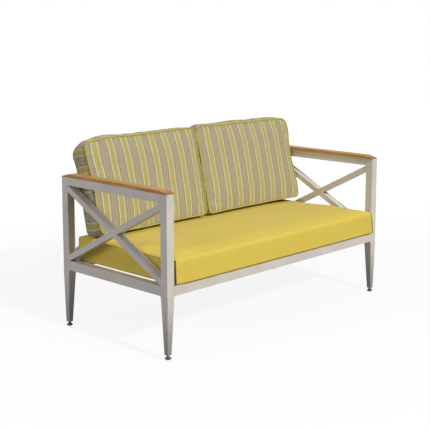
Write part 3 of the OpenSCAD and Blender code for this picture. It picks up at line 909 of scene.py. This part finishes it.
@dataclass(frozen=True)
class Swelling:
    """How a cushion's cover swells in the cloth simulation."""

    pressure: float
    spare: float
    cap: float
    frames: int = 20
    stiffness: float = 18.0
    bending: float = 2.0
    quality: int = 5
    mass: float = 0.3

    def run(self, start: Array, faces: Array, held: Array) -> Array:
        """Swells a skin.

        Args:
            start: Its points.
            faces: Its quads.
            held: Numbers of the points that are sewn fast.

        Returns:
            The points after the last frame, none further than the cap from its start.
        """
        scene = bpy.context.scene
        mesh = bpy.data.meshes.new("swelling")
        mesh.from_pydata(start.tolist(), [], faces.tolist())
        skin = bpy.data.objects.new("swelling", mesh)
        scene.collection.objects.link(skin)
        skin.vertex_groups.new(name="sewn").add([int(one) for one in held], 1.0, "REPLACE")
        cloth = skin.modifiers.new("swelling", "CLOTH")
        rules = cloth.settings
        rules.quality, rules.mass = self.quality, self.mass
        rules.tension_stiffness = rules.compression_stiffness = self.stiffness
        rules.shear_stiffness = self.stiffness / 2
        rules.bending_stiffness = self.bending
        rules.use_pressure = True
        rules.uniform_pressure_force = self.pressure
        rules.shrink_min = -self.spare
        rules.vertex_group_mass = "sewn"
        rules.effector_weights.gravity = 0
        cloth.collision_settings.use_collision = False
        cloth.point_cache.frame_start, cloth.point_cache.frame_end = 1, self.frames
        for step in range(1, self.frames + 1):
            scene.frame_set(step)
        depsgraph = bpy.context.evaluated_depsgraph_get()
        swollen = skin.evaluated_get(depsgraph).data
        found = np.empty(len(start) * 3, np.float32)
        swollen.vertices.foreach_get("co", found)
        bpy.data.objects.remove(skin)
        scene.frame_set(1)
        move = found.reshape(-1, 3).astype(float) - start
        reach = np.maximum(np.linalg.norm(move, axis=1, keepdims=True), 1e-9)
        return start + move * self.cap * np.tanh(reach / self.cap) / reach


@dataclass(frozen=True)
class Push:
    """A soft local push on a cushion.

    It adds the move times exp(-((u - at_u) / reach_u)^2 - ((v - at_v) / reach_v)^2).
    Where fades is 1, it is full at the face's rim and nothing at the back's, and the other way round for -1.
    """

    at: tuple[float, float]
    reach: tuple[float, float]
    move: tuple[float, float, float]
    fades: int = 0

    def applied(self, points: Array, low: float, high: float) -> Array:
        """The points with this push added, which fades between the two heights where it is set to."""
        gap = (points[:, :2] - self.at) / self.reach
        weight = np.exp(-(gap ** 2).sum(axis=1))
        if self.fades:
            share = np.clip((points[:, 2] - low) / (high - low), 0, 1)
            weight = weight * (share if self.fades > 0 else 1 - share)
        return points + weight[:, None] * np.array(self.move)


def skin_normals(points: Array, faces: Array) -> Array:
    """Normals at the points: the sum of the crossed diagonals of the faces that meet there."""
    quads = points[faces]
    crossed = np.cross(quads[:, 2] - quads[:, 0], quads[:, 3] - quads[:, 1])
    total = np.zeros_like(points)
    for corner in range(4):
        np.add.at(total, faces[:, corner], crossed)
    return unit(total)


def even_path(points: Array, step: float, closed: bool) -> Array:
    """The same line with points an even step apart."""
    line = np.concatenate([points, points[:1]]) if closed else points
    length = np.concatenate(([0], np.cumsum(np.linalg.norm(np.diff(line, axis=0), axis=1))))
    count = max(int(round(length[-1] / step)), 2)
    at = np.linspace(0, length[-1], count + 1)[:count if closed else count + 1]
    return np.column_stack([np.interp(at, length, line[:, axis]) for axis in range(3)])


def framed(path: Array, normal: Array, step: float) -> tuple[Array, Array]:
    """Even points on an open line, and for each its axes as rows: ahead, sideways and out."""
    made = even_path(path, step, False)
    share, known = np.linspace(0, 1, len(made)), np.linspace(0, 1, len(path))
    lift = np.column_stack([np.interp(share, known, normal[:, axis]) for axis in range(3)])
    ahead = unit(np.gradient(made, axis=0))
    side = unit(np.cross(ahead, unit(lift)))
    return made, np.stack([ahead, side, np.cross(side, ahead)], 1)


def smoothed(values: Array, passes: int, closed: bool) -> Array:
    """Rows averaged with their neighbours a number of times, keeping the ends of an open line."""
    for _ in range(passes):
        middle = (np.roll(values, 1, 0) + 2 * values + np.roll(values, -1, 0)) / 4
        if not closed:
            middle[0], middle[-1] = values[0], values[-1]
        values = middle
    return values


@dataclass
class Zip:
    """A zip along a boxing: two tapes in one band, a row of teeth and a slider with its pull."""

    tape: float = 0.026
    thickness: float = 0.0011
    tooth_pitch: float = 0.0028
    tooth: tuple[float, float, float] = (0.0011, 0.0028, 0.0009)
    tooth_tip: tuple[float, float, float] = (0.7, 0.8, 1.0)
    tooth_sway: float = 0.0007
    tooth_lift: float = 0.0002
    stitch_pitch: float = 0.0038
    stitch_r: float = 0.00028
    stitch_share: float = 0.72
    edge_share: float = 0.8
    slider_share: float = 1 / 30

    def build(self, name: str, path: Array, normal: Array, finish: Finish, body: str) -> None:
        """Lays the zip on a line with its normals."""
        half, t = self.tape / 2, self.thickness
        band = np.array([
            [-half, -t], [half, -t], [half, 0.35 * t], [0.55 * half, t], [0.12 * half, t],
            [0, 0.4 * t], [-0.12 * half, t], [-0.55 * half, t], [-half, 0.35 * t],
        ])
        add_sweep(f"{name}_tape", path, normal, band, False, finish, body)
        teeth, axes = framed(path, normal, self.tooth_pitch)
        side, lift = axes[:, 1], axes[:, 2]
        corner = np.array([[x, y, z] for x in (-1, 1) for y in (-1, 1) for z in (-1, 1)], float)
        block = corner * self.tooth / 2
        block[corner[:, 2] > 0] *= self.tooth_tip
        quads = np.array([[0, 1, 3, 2], [4, 6, 7, 5], [0, 4, 5, 1], [2, 3, 7, 6], [0, 2, 6, 4], [1, 5, 7, 3]])
        if not outward(block, [quads]):
            quads = quads[:, ::-1]
        sway = np.where(np.arange(len(teeth)) % 2 == 0, 1, -1)[:, None] * self.tooth_sway
        places = teeth + side * sway + lift * (t + self.tooth_lift)
        add_copies(f"{name}_teeth", block, quads, places, axes, ZIP_NYLON, body)
        at = int(len(teeth) * self.slider_share)
        self.slider(f"{name}_slider", teeth[at], axes[at], body)
        places, sewn = framed(path, normal, self.stitch_pitch)
        apart, raised = sewn[:, 1] * (self.edge_share * half), sewn[:, 2] * (0.6 * t)
        edges = [places + apart * edge + raised for edge in (-1, 1)]
        stitch, sides = stitch_block(self.stitch_share * self.stitch_pitch, self.stitch_r)
        sewn = np.concatenate([sewn, sewn])
        add_copies(f"{name}_stitches", stitch, sides, np.concatenate(edges), sewn, finish, body)

    def slider(self, name: str, place: Array, axes: Array, body: str) -> None:
        """A slider: its body and the pull tab that lies on it are plates with soft edges.

        A plate's outline is (long cos(t)^0.7, wide sin(t)^0.7), and each plate is given as the place of its
        centre, long, wide and its two heights.
        """
        steps, edge = 24, 0.0004
        t = np.linspace(0, TURN, steps, endpoint=False)
        x, y = (np.copysign(np.abs(one) ** 0.7, one) for one in (np.cos(t), np.sin(t)))
        plates = [(0.0, 0.0052, 0.0042, 0.0012, 0.0038), (0.0085, 0.0062, 0.0022, 0.0034, 0.0044)]
        k = np.arange(steps // 2 - 1)
        end = np.column_stack([k, k + 1, steps - 2 - k, steps - 1 - k])
        points, faces = [], []
        for centre, long, wide, low, high in plates:
            rings = ((low, 0.86), (low + edge, 1.0), (high - edge, 1.0), (high, 0.84))
            base = len(points) * steps
            points += [
                np.column_stack([centre + size * long * x, size * wide * y, np.full(steps, height)])
                for height, size in rings
            ]
            sides = grid_faces(len(rings), steps, False, True)
            faces += [sides + base, end[:, ::-1] + base, end + base + (len(rings) - 1) * steps]
        local = np.concatenate(points)
        quads = np.concatenate(faces)
        world = place + local @ axes
        if not outward(world, [quads]):
            quads = quads[:, ::-1]
        add_piece(name, world, [quads], ZIP_NYLON, body, np.zeros((quads.size, 2)))


def crown(power_u: float, power_v: float, rise: float, fullness: float) -> Callable[[Array, Array], Array]:
    """A face's rise: rise times ((1 - |p|^power_u)(1 - |q|^power_v))^fullness, zero at the rim."""
    return lambda p, q: rise * ((1 - np.abs(p) ** power_u) * (1 - np.abs(q) ** power_v)) ** fullness


@dataclass
class SeatCushion:
    """The plain seat cushion: top and front in one piece of cloth, seamed side panels, zip at the rear."""

    half_w: float = 0.6595
    front: float = -0.337
    rear: float = 0.2987
    base: float = 0.2973
    packed_edge: float = 0.104
    edge: float = 0.107
    rise: float = 0.014
    corner: float = 0.01
    upper_round: float = 0.016
    lower_round: float = 0.007
    cell: float = 0.0093
    pulled: float = 0.002
    slope: float = 0.005
    slack: float = 0.62
    roof_inset: float = 0.016
    roof_spare: float = 0.012
    roof_from: float = 0.125
    roof_run: float = 0.2
    post_front: float = -0.3236
    side_spare: float = 0.0012
    front_side_spare: float = 0.01
    front_spare: float = 0.004
    zip_share: float = 0.12
    welt_step: float = 0.005
    body: str = "seat_cushion"
    swelling: Swelling = Swelling(pressure=4.0, spare=0.004, cap=0.007)
    pushes: tuple[Push, ...] = (
        Push((-0.66, -0.318), (0.05, 0.05), (0.0, 0.007, 0.0)),
        Push((0.66, -0.318), (0.05, 0.035), (0.01, 0.0, 0.0)),
        Push((0.64, -0.06), (0.1, 0.2), (0.0, 0.0, 0.005), fades=1),
    )

    @property
    def middle(self) -> float:
        """Y of the cushion's middle."""
        return (self.front + self.rear) / 2

    def skin(self) -> BoxedSkin:
        """Its skin: the wall goes down the upper round, the side and the lower round."""
        turn = np.linspace(0, np.pi / 2, 4)
        up, low = self.upper_round, self.lower_round
        upper = np.column_stack([up * (1 - np.sin(turn)), self.edge - up * (1 - np.cos(turn))])
        lower = np.column_stack([low * (1 - np.cos(turn[:3] * 1.5)), low * (1 - np.sin(turn[:3] * 1.5))])
        side_w = np.linspace(self.edge - up, low, 10)[1:-1]
        side = np.column_stack([np.zeros(len(side_w)), side_w])
        wall = np.concatenate([upper, side, lower])
        pull = self.pulled * np.clip((wall[:, 1] - 0.5 * self.edge) / (0.5 * self.edge), 0, 1)
        return BoxedSkin(
            self.half_w, (self.rear - self.front) / 2, np.full((len(wall), 2), self.corner), self.cell, wall,
            crown(12, 7, self.rise, 1.0), lambda p, q: np.zeros_like(p), pull,
        )

    def shaped(self, skin: BoxedSkin, rise: float) -> Array:
        """The skin's points after the pushes, its front leaning back by slope times the share of height."""
        points = skin.points(rise)
        ahead = np.clip(-points[:, 1] / skin.half_v, 0, 1) ** 6
        points[:, 1] += self.slope * ahead * np.clip(points[:, 2] / self.edge, 0, 1)
        for push in self.pushes:
            points = push.applied(points, 0.0, self.edge)
        return points

    def kept_clear(self, points: Array) -> Array:
        """Points held off the deck, the posts, the rear rail and the back cushions' lower edges.

        The roof over them is the model's crown, and towards the front it rises by roof_spare times the square
        of the share of roof_run. In front of the posts the sides have more room.
        """
        x, y, w = points.T
        half_d = (self.rear - self.front) / 2
        inset = self.roof_inset
        share = np.maximum(np.abs(x) / (self.half_w - inset), np.abs(y) / (half_d - inset))
        roof = self.packed_edge + self.rise * (1 - np.clip(share, 0, 1) ** 3)
        spare = self.roof_spare * np.clip((self.roof_from - y) / self.roof_run, 0, 1) ** 2
        ahead = y + self.middle < self.post_front
        reach = self.half_w + np.where(ahead, self.front_side_spare, self.side_spare)
        return np.column_stack([
            np.clip(x, -reach, reach), np.clip(y, -half_d - self.front_spare, half_d),
            np.clip(w, 0, roof + spare),
        ])

    def placed(self, points: Array) -> Array:
        """Points of the cushion's own frame in the model's."""
        return points + np.array([0, self.middle, self.base])

    def build(self) -> None:
        skin = self.skin()
        faces = skin.faces()
        points = self.swelling.run(self.shaped(skin, self.slack), faces, skin.back)
        points = self.kept_clear(points)
        placed = self.placed(points)
        cover = add_piece("seat_cushion", placed, [faces], CANVAS, self.body, skin.cloth(0.0))
        refine(cover)
        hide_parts("seat_cushion_cover")
        normals = skin_normals(placed, faces)
        self.seams(skin, placed, normals)
        self.zip(skin, placed, normals)

    def seams(self, skin: BoxedSkin, placed: Array, normals: Array) -> None:
        """Fine welts: along the upper sides, and ones down the front corners and under the front whose dark
        colour is painted shade, standing in for the shadowed gaps beside the posts and above the front rail.
        """
        row, rim, nu, nv = 2, len(skin.rim), skin.nu, skin.nv
        corners = {Side.LEFT: (rim - nv, rim), Side.RIGHT: (nu + nv, nu)}
        # The front corner and front base welts are darkened as painted shade, standing in for the shadowed
        # gap beside the posts and under the cushion's front.
        welts = {"front_base_seam": (skin.rows[-2, :nu + 1], 0.0013, PAINTED_SHADE_CANVAS)}
        for side, (rear, front) in corners.items():
            step = 1 if front > rear else -1
            along = np.arange(rear, front + step, step) % rim
            welts[f"{side.word}_seam"] = (skin.rows[row, along], 0.0016, CANVAS)
            welts[f"{side.word}_corner_seam"] = (skin.rows[row:-1, front % rim], 0.0026, PAINTED_SHADE_CANVAS)
        for part, (numbers, radius, finish) in welts.items():
            path = smoothed(placed[numbers] + normals[numbers] * 0.0002, 3, False)
            even, axes = framed(path, smoothed(normals[numbers], 3, False), self.welt_step)
            profile = round_profile(radius, 8, 0.8)
            add_sweep(f"seat_cushion_{part}", even, axes[:, 2], profile, False, finish, self.body)

    def zip(self, skin: BoxedSkin, placed: Array, normals: Array) -> None:
        """The zip along the middle of the rear boxing."""
        row, nu, nv = len(skin.wall) // 2, skin.nu, skin.nv
        margin = int(nu * self.zip_share)
        numbers = skin.rows[row, nu + nv + margin:nu + nv + nu - margin]
        path = smoothed(placed[numbers], 6, False)
        lift = unit(smoothed(normals[numbers], 6, False))
        Zip().build("seat_cushion_zip", path + lift * 0.0004, lift, CANVAS, self.body)


@dataclass
class BackCushion:
    """A boxed back cushion with striped cloth, piped front and rear seams and a zip under it."""

    side: Side
    stripe_shift: float
    seed: int
    mid_x: float = 0.327075
    mid_y: float = 0.227814
    mid_z: float = 0.618278
    half_w: float = 0.326925
    half_h: float = 0.21
    thick: float = 0.094
    lean: float = math.radians(13)
    front_rise: float = 0.016
    rear_rise: float = 0.012
    corner: tuple[float, float] = (0.03, 0.03)
    rear_corner: tuple[float, float] = (0.02, 0.06)
    side_swell: float = 0.005
    top_swell: float = 0.01
    pulled: float = 0.003
    cell: float = 0.006
    slack: float = 0.55
    top_spare: float = 0.022
    arm_heights: tuple[float, ...] = (0.652, 0.663, 0.683, 0.7)
    arm_reach: tuple[float, ...] = (0.6608, 0.6554, 0.6554, 0.667)
    rim_waves: tuple[tuple[int, float], ...] = ((3, 0.0009), (5, 0.0008), (8, 0.0005), (13, 0.0003))
    face_waves: tuple[tuple[int, int, float], ...] = ((9, 11, 0.0016), (17, 13, 0.001), (31, 23, 0.0005))
    pucker: float = 0.0022
    pucker_pitches: tuple[int, int] = (74, 66)
    pucker_reach: tuple[float, float] = (0.014, 0.004)
    zip_share: float = 0.14
    cord_ahead: float = 0.0018
    cord_step: float = 0.005
    cords: dict[Rank, tuple[float, float]] = field(
        default_factory=lambda: {Rank.FRONT: (0.0032, 0.0001), Rank.REAR: (0.0026, 0.0026)}
    )
    rows: int = 16
    swelling: Swelling = Swelling(pressure=4.5, spare=0.012, cap=0.011)
    pushes: tuple[Push, ...] = ()

    @property
    def body(self) -> str:
        """The body that it rides on."""
        return f"{self.side.word}_back_cushion"

    def skin(self) -> BoxedSkin:
        """Its skin: the wall swells towards its middle by the square of the share across it."""
        share = np.linspace(1, -1, self.rows + 1)
        wall = np.column_stack([self.side_swell * share**2, share * self.thick / 2])
        front, rear = np.array(self.corner), np.array(self.rear_corner)
        radii = front + (rear - front) * (1 - share[:, None]) / 2
        return BoxedSkin(
            self.half_w, self.half_h, radii, self.cell, wall,
            crown(3, 3, self.front_rise, 0.8), crown(3, 3, self.rear_rise, 1.0), self.pulled * share**2,
        )

    def shaped(self, skin: BoxedSkin, rise: float) -> Array:
        """The skin's points with the upper boxing swollen and the pushes added.

        The boxing rises by top_swell times (1 - w^2)^0.75, w being the share across it, and less at its ends.
        """
        points = skin.points(rise)
        u, v, w = points.T
        across = np.clip(1 - (2 * w / self.thick) ** 2, 0, 1) ** 0.75
        upper = np.clip((v / self.half_h - 0.6) / 0.3, 0, 1)
        points[:, 1] += self.top_swell * across * upper * np.clip(1 - np.abs(u / self.half_w) ** 8, 0, 1)
        for push in self.pushes:
            points = push.applied(points, -self.thick / 2, self.thick / 2)
        return points

    def placed(self, points: Array) -> Array:
        """Points of the cushion's own frame in the model's, leaning back."""
        sin, cos = math.sin(self.lean), math.cos(self.lean)
        axes = np.array([[1, 0, 0], [0, sin, cos], [0, -cos, sin]])
        return points @ axes + np.array([self.side.value * self.mid_x, self.mid_y, self.mid_z])

    def kept_clear(self, skin: BoxedSkin, points: Array) -> Array:
        """Points held off the other cushion, the arm, its cap and the back rail."""
        u, v, w = points.T
        sign = self.side.value
        height = self.mid_z + v * math.cos(self.lean) + w * math.sin(self.lean)
        reach = np.interp(height, self.arm_heights, self.arm_reach) - self.mid_x
        reach[skin.rows[[0, -1]].ravel()] -= self.side_swell
        floor = np.full(len(points), -self.thick / 2 - self.rear_rise)
        floor[skin.back] = -self.thick / 2 - skin.back_rise(skin.p, skin.q)
        return np.column_stack([
            sign * np.clip(sign * u, -self.half_w, reach),
            np.clip(v, -self.half_h, self.half_h + self.top_spare), np.maximum(w, floor),
        ])

    def ruffled(self, skin: BoxedSkin, points: Array) -> Array:
        """Points moved by a few slow waves, so that no two cushions are alike.

        The rim moves out from the middle by a sum of sines of the angle. The face moves by a sum of products
        of sines of u and v, and is puckered along its rims by |sin| of the place there, which fades over the
        gap to the rim as exp(-gap / far) (1 - exp(-gap / near)).
        """
        draw = np.random.default_rng(self.seed)
        u, v, _ = points.T
        angle = np.arctan2(v / self.half_h, u / self.half_w)
        share = np.clip(np.hypot(u / self.half_w, v / self.half_h), 0, 1.4) ** 3
        outward_by = sum(size * np.sin(n * angle + draw.uniform(0, TURN)) for n, size in self.rim_waves)
        made = points.copy()
        made[:, :2] += unit(points[:, :2]) * (outward_by * share)[:, None]
        wave = sum(
            size * np.sin(u * along + draw.uniform(0, TURN)) * np.sin(v * across + draw.uniform(0, TURN))
            for along, across, size in self.face_waves
        )
        count = len(skin.p)
        made[:count, 2] += wave[:count] * skin.face_rise(skin.p, skin.q) / self.front_rise
        far, near = self.pucker_reach
        for axis, half, pitch in zip((0, 1), (self.half_h, self.half_w), self.pucker_pitches):
            along, gap = points[:count, axis], half - np.abs(points[:count, 1 - axis])
            fold = np.abs(np.sin(along * pitch + 2 * np.sin(along * 21 + draw.uniform(0, TURN))))
            made[:count, 2] -= self.pucker * fold * np.exp(-gap / far) * (1 - np.exp(-gap / near))
        return made

    def build(self) -> None:
        skin = self.skin()
        faces = skin.faces()
        held = np.concatenate([skin.rows[0], skin.rows[-1]])
        points = self.swelling.run(self.ruffled(skin, self.shaped(skin, self.slack)), faces, held)
        points = self.kept_clear(skin, points)
        placed = self.placed(points)
        cloth = skin.cloth(self.stripe_shift)
        cover = add_piece(self.body, placed, [faces], STRIPES, self.body, cloth)
        refine(cover)
        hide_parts(f"{self.body}_cover")
        for rank, row in ((Rank.FRONT, 0), (Rank.REAR, -1)):
            self.piping(rank, points[skin.rows[row]])
        self.zip(skin, placed, skin_normals(placed, faces))

    def piping(self, rank: Rank, rim: Array) -> None:
        """A cloth-covered cord along a sewn rim, set a little outwards along the rim's own plane."""
        line = smoothed(even_path(rim, self.cord_step, True), 3, True)
        forward = np.broadcast_to([0.0, 0.0, 1.0], line.shape)
        out = unit(np.cross(np.roll(line, -1, 0) - np.roll(line, 1, 0), forward))
        radius, sunk = self.cords[rank]
        centre = line + out * (self.side_swell - radius - sunk) - forward * rank.value * self.cord_ahead
        world, lift = self.placed(centre), self.placed(centre + out) - self.placed(centre)
        name, profile = f"{self.body}_{rank.word}_piping", round_profile(radius, 14)
        add_sweep(name, world, lift, profile, True, PIPING, self.body)

    def zip(self, skin: BoxedSkin, placed: Array, normals: Array) -> None:
        """The zip along the middle of the lower boxing."""
        margin = int(skin.nu * self.zip_share)
        numbers = skin.rows[self.rows // 2, margin:skin.nu - margin]
        path, lift = smoothed(placed[numbers], 6, False), unit(smoothed(normals[numbers], 6, False))
        Zip(tape=0.022).build(f"{self.body}_zip", path - lift * 0.0012, lift, PIPING, self.body)


BACK_CUSHIONS = (
    BackCushion(Side.LEFT, stripe_shift=0.041, seed=11, top_swell=0.006, pushes=(
        Push((-0.3, 0.21), (0.13, 0.07), (0.0, -0.011, 0.0), fades=1),
        Push((-0.2, 0.21), (0.05, 0.06), (0.0, 0.004, 0.0)),
        Push((-0.29, 0.2), (0.06, 0.05), (0.0, -0.009, 0.0), fades=-1),
        Push((-0.327, 0.15), (0.05, 0.045), (-0.007, 0.0, 0.0), fades=-1),
        Push((-0.327, 0.15), (0.07, 0.08), (-0.008, 0.0, -0.003), fades=1),
    )),
    BackCushion(Side.RIGHT, stripe_shift=0.059, seed=23, corner=(0.018, 0.03), pushes=(
        Push((0.327, 0.14), (0.06, 0.08), (0.008, 0.0, 0.003)),
        Push((0.327, -0.12), (0.07, 0.12), (0.006, 0.0, 0.0)),
        Push((0.327, -0.12), (0.09, 0.14), (0.0, 0.0, 0.007), fades=1),
        Push((-0.05, 0.21), (0.07, 0.07), (0.0, 0.003, 0.0)),
        Push((-0.29, 0.2), (0.05, 0.06), (0.0, 0.006, 0.0)),
        Push((0.33, 0.21), (0.05, 0.05), (-0.006, -0.006, 0.0)),
        Push((0.25, 0.21), (0.06, 0.06), (0.0, -0.005, 0.0), fades=1),
    )),
)


def refine(piece: bpy.types.Object) -> None:
    """Finishes a skin with one smooth subdivision."""
    smooth = piece.modifiers.new("refine", "SUBSURF")
    smooth.levels = smooth.render_levels = 1


# Metal and timber


@dataclass
class LevellingGlide:
    """A glide: a turned nylon foot on a threaded stem."""

    side: Side
    rank: Rank
    stem_r: float = 0.004
    thread_depth: float = 0.00045
    thread_pitch: float = 0.00125
    thread_ease: float = 0.0012
    stem_low: float = 0.006
    stem_high: float = 0.0478
    stem_end: float = 0.0009
    sole: tuple[tuple[float, float], ...] = ((0.0078, 0.0), (0.0088, 0.0002), (0.0096, 0.0009))
    rim: tuple[float, float] = (0.0113, 0.0052)
    rim_round: tuple[float, float] = (0.0025, 0.0026)
    neck: tuple[float, float] = (0.0066, 0.0122)
    collar: tuple[tuple[float, float], ...] = (
        (0.0062, 0.0126), (0.0062, 0.0144), (0.0058, 0.0149), (0.0046, 0.015), (0.0036, 0.015),
    )

    @property
    def body(self) -> str:
        """The body that it rides on."""
        return f"{self.side.word}_{self.rank.word}_glide"

    def build(self) -> None:
        """Turns the foot and cuts the stem's thread."""
        low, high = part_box(f"{self.body}_pad")
        centre = ((low.x + high.x) / 2, (low.y + high.y) / 2)
        foot = add_lathe(f"{self.body}_foot", centre, self.foot_profile(), 40, NYLON, self.body)
        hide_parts(f"{self.body}_pad")
        z = np.linspace(self.stem_low, self.stem_high, 330)
        ease = np.clip(np.minimum(z - z[0], z[-1] - z) / self.thread_ease, 0, 1)
        profile = np.column_stack([self.stem_r - self.thread_depth - self.stem_end * (1 - ease), z])
        stem = add_lathe(f"{self.body}_thread", centre, profile, 20, STEM_STEEL, self.body, self.thread)
        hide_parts(f"{self.body}_stem")

    def foot_profile(self) -> Array:
        """Radius and height from the floor up: flat sole, rolled rim, hollow cone and collar.

        The rim is an arc of its two radii, and the cone's radius falls with the share of its height^0.82.
        """
        turn = np.linspace(-0.75, 1.05, 9)
        rim = self.rim + np.column_stack([np.cos(turn), np.sin(turn)]) * self.rim_round
        share = np.linspace(0.0, 1.0, 8)[1:]
        cone = rim[-1] + (self.neck - rim[-1]) * np.column_stack([share ** 0.82, share])
        return np.concatenate([self.sole, rim, cone, self.collar])

    def thread(self, angle: Array, height: Array) -> Array:
        """A thread's rise: a rounded wave of the height less the share of a turn."""
        phase = height / self.thread_pitch - angle / TURN
        return self.thread_depth * (1 - np.abs(2 * (phase % 1) - 1))


@dataclass
class MetalFrame:
    """The welded tube frame with its cast legs and deck, all of them solids of the model."""

    round_edge: float = 0.0008
    join_gap: float = 0.00001
    sharp: float = math.radians(35)

    def build(self) -> None:
        """Gives every metal and timber node its finish."""
        for name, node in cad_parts.items():
            finish = self.finish_of(name)
            if finish is None:
                continue
            dress_node(node, finish)
            if name.endswith("_leg"):
                self.soften(node)

    def finish_of(self, name: str) -> Finish | None:
        """The finish of a node by what it is."""
        kinds = {
            "_leg": CAST_PAINT, "_slats": DECK_PAINT, "_ledge": DECK_PAINT, "_cap": TEAK, "_core": FOAM,
            "_screws": SCREW_STEEL, "_post": PAINT, "_rail": PAINT, "_upright": PAINT, "_brace": PAINT,
        }
        return next((finish for end, finish in kinds.items() if name.endswith(end)), None)

    def soften(self, node: bpy.types.Object) -> None:
        """Rounds a casting's edges, after its loose triangles are joined."""
        join = node.modifiers.new("join", "WELD")
        join.merge_threshold = self.join_gap
        bevel = node.modifiers.new("soften", "BEVEL")
        bevel.width, bevel.segments = self.round_edge, 2
        bevel.limit_method, bevel.angle_limit = "ANGLE", self.sharp


def dress_node(node: bpy.types.Object, finish: Finish) -> None:
    """Puts a finish on a node of the model through its own material slots."""
    material = material_of(finish)
    if not node.material_slots:
        node.data.materials.append(material)
    for slot in node.material_slots:
        slot.material = material
    LOG.info("%s: %s", node.name, finish.name)


# Studio


@dataclass(frozen=True)
class Softbox:
    """A large soft square light."""

    name: str
    place: tuple[float, float, float]
    aim: tuple[float, float, float]
    size: float
    power: float
    colour: tuple[float, float, float]

    def build(self) -> None:
        """Hangs the light at its place, turned to what it aims at."""
        data = bpy.data.lights.new(self.name, "AREA")
        data.energy, data.size, data.color = self.power, self.size, self.colour
        lamp = bpy.data.objects.new(self.name, data)
        lamp.location = self.place
        lamp.rotation_mode = "QUATERNION"
        lamp.rotation_quaternion = (Vector(self.aim) - Vector(self.place)).to_track_quat("-Z", "Y")
        bpy.context.scene.collection.objects.link(lamp)


@dataclass
class Studio:
    """Camera, lights, floor and surroundings."""

    eye: tuple[float, float, float] = (-3.2221, -3.0201, 1.3355)
    yaw: float = 0.8022
    pitch: float = 0.1559
    lens: float = 81.76
    sensor: float = 36.0
    shift_y: float = -0.1
    sight: float = 100.0
    lights: tuple[Softbox, ...] = (
        Softbox("key", (-0.6, -7.5, 5.3), (0.0, 0.0, 0.35), 0.5, 655.0, (1.0, 0.985, 0.955)),
        Softbox("fill", (-4.2, 0.9, 2.5), (-0.3, 0.0, 0.4), 2.0, 52.0, (0.98, 0.97, 1.03)),
        Softbox("top", (-0.4, 0.6, 5.0), (-0.1, 0.2, 0.5), 1.6, 18.0, (1.0, 0.99, 0.97)),
        Softbox("back", (1.8, 6.2, 1.3), (0.2, 0.1, 0.4), 2.4, 80.0, (1.0, 0.99, 1.0)),
    )
    ambient: Colour = (0.98, 0.96, 1.07, 1.0)
    ambient_strength: float = 0.19
    floor_size: float = 40.0
    glow_near: float = 0.885
    glow_far: float = 1.0
    fade: tuple[float, float] = (0.9, 4.5)
    floor_shown: float = 0.11
    floor_bounce: float = 0.22

    def build(self) -> None:
        """Sets up everything around the bench."""
        bpy.context.scene.view_settings.view_transform = "Standard"
        self.camera()
        for light in self.lights:
            light.build()
        self.surroundings()
        self.floor()

    def camera(self) -> None:
        """The camera of the photograph: its place, its direction from yaw and pitch, and its lens."""
        data = bpy.data.cameras.new("camera")
        data.lens, data.shift_y = self.lens, self.shift_y
        data.sensor_width, data.clip_end = self.sensor, self.sight
        camera = bpy.data.objects.new("camera", data)
        bpy.context.scene.collection.objects.link(camera)
        level = math.cos(self.pitch)
        ahead = Vector((math.sin(self.yaw) * level, math.cos(self.yaw) * level, -math.sin(self.pitch)))
        camera.location = self.eye
        camera.rotation_mode = "QUATERNION"
        camera.rotation_quaternion = ahead.to_track_quat("-Z", "Y")
        bpy.context.scene.camera = camera

    def seen_directly(self, graph: Graph) -> Signal:
        """1 for rays from the camera, or mirrored or passed on by what it sees."""
        outputs = graph.node("ShaderNodeLightPath", {}, {}).socket.node.outputs
        camera, mirrored, passed = (
            Signal(graph, outputs[kind]) for kind in ("Is Camera Ray", "Is Glossy Ray", "Is Transmission Ray")
        )
        return (camera + mirrored + passed).clamped()

    def surroundings(self) -> None:
        """Even light from all round, which shows as white."""
        world = bpy.data.worlds.new("surroundings")
        world.use_nodes = True
        bpy.context.scene.world = world
        graph = Graph(world.node_tree)
        seen = self.seen_directly(graph)
        colour = graph.blend(seen, self.ambient, WHITE)
        strength = self.ambient_strength + seen * (1 - self.ambient_strength)
        light = graph.node("ShaderNodeBackground", {}, {"Color": colour, "Strength": strength})
        graph.node("ShaderNodeOutputWorld", {}, {"Surface": light})

    def floor(self) -> None:
        """A pale floor that shows white with a faint shadow, and throws light back as any pale floor does."""
        half = self.floor_size / 2
        mesh = bpy.data.meshes.new("floor")
        corners = [(-half, -half, 0), (half, -half, 0), (half, half, 0), (-half, half, 0)]
        mesh.from_pydata(corners, [], [(0, 1, 2, 3)])
        floor = bpy.data.objects.new("floor", mesh)
        bpy.context.scene.collection.objects.link(floor)
        material = bpy.data.materials.new("studio_floor")
        material.use_nodes = True
        graph = Graph(material.node_tree)
        bounce, shown = (
            graph.node("ShaderNodeBsdfDiffuse", {}, {"Color": (grey, grey, grey, 1.0)})
            for grey in (self.floor_bounce, self.floor_shown)
        )
        away = graph.node("ShaderNodeVectorMath", {"operation": "LENGTH"}, {0: graph.place()}, "Value")
        strength = self.glow_near + away.ramped(*self.fade) * (self.glow_far - self.glow_near)
        glow = graph.node("ShaderNodeEmission", {}, {"Color": WHITE, "Strength": strength})
        white = graph.node("ShaderNodeAddShader", {}, {0: shown, 1: glow})
        mixed = graph.node("ShaderNodeMixShader", {}, {0: self.seen_directly(graph), 1: bounce, 2: white})
        graph.node("ShaderNodeOutputMaterial", {}, {"Surface": mixed})
        mesh.materials.append(material)


def main() -> None:
    """Builds the bench's looks in order."""
    logging.basicConfig(level=logging.INFO, format="%(name)s: %(message)s")
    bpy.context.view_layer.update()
    Studio().build()
    MetalFrame().build()
    for side in Side:
        for rank in Rank:
            LevellingGlide(side, rank).build()
    SeatCushion().build()
    for cushion in BACK_CUSHIONS:
        cushion.build()


if __name__ == "__main__":
    main()
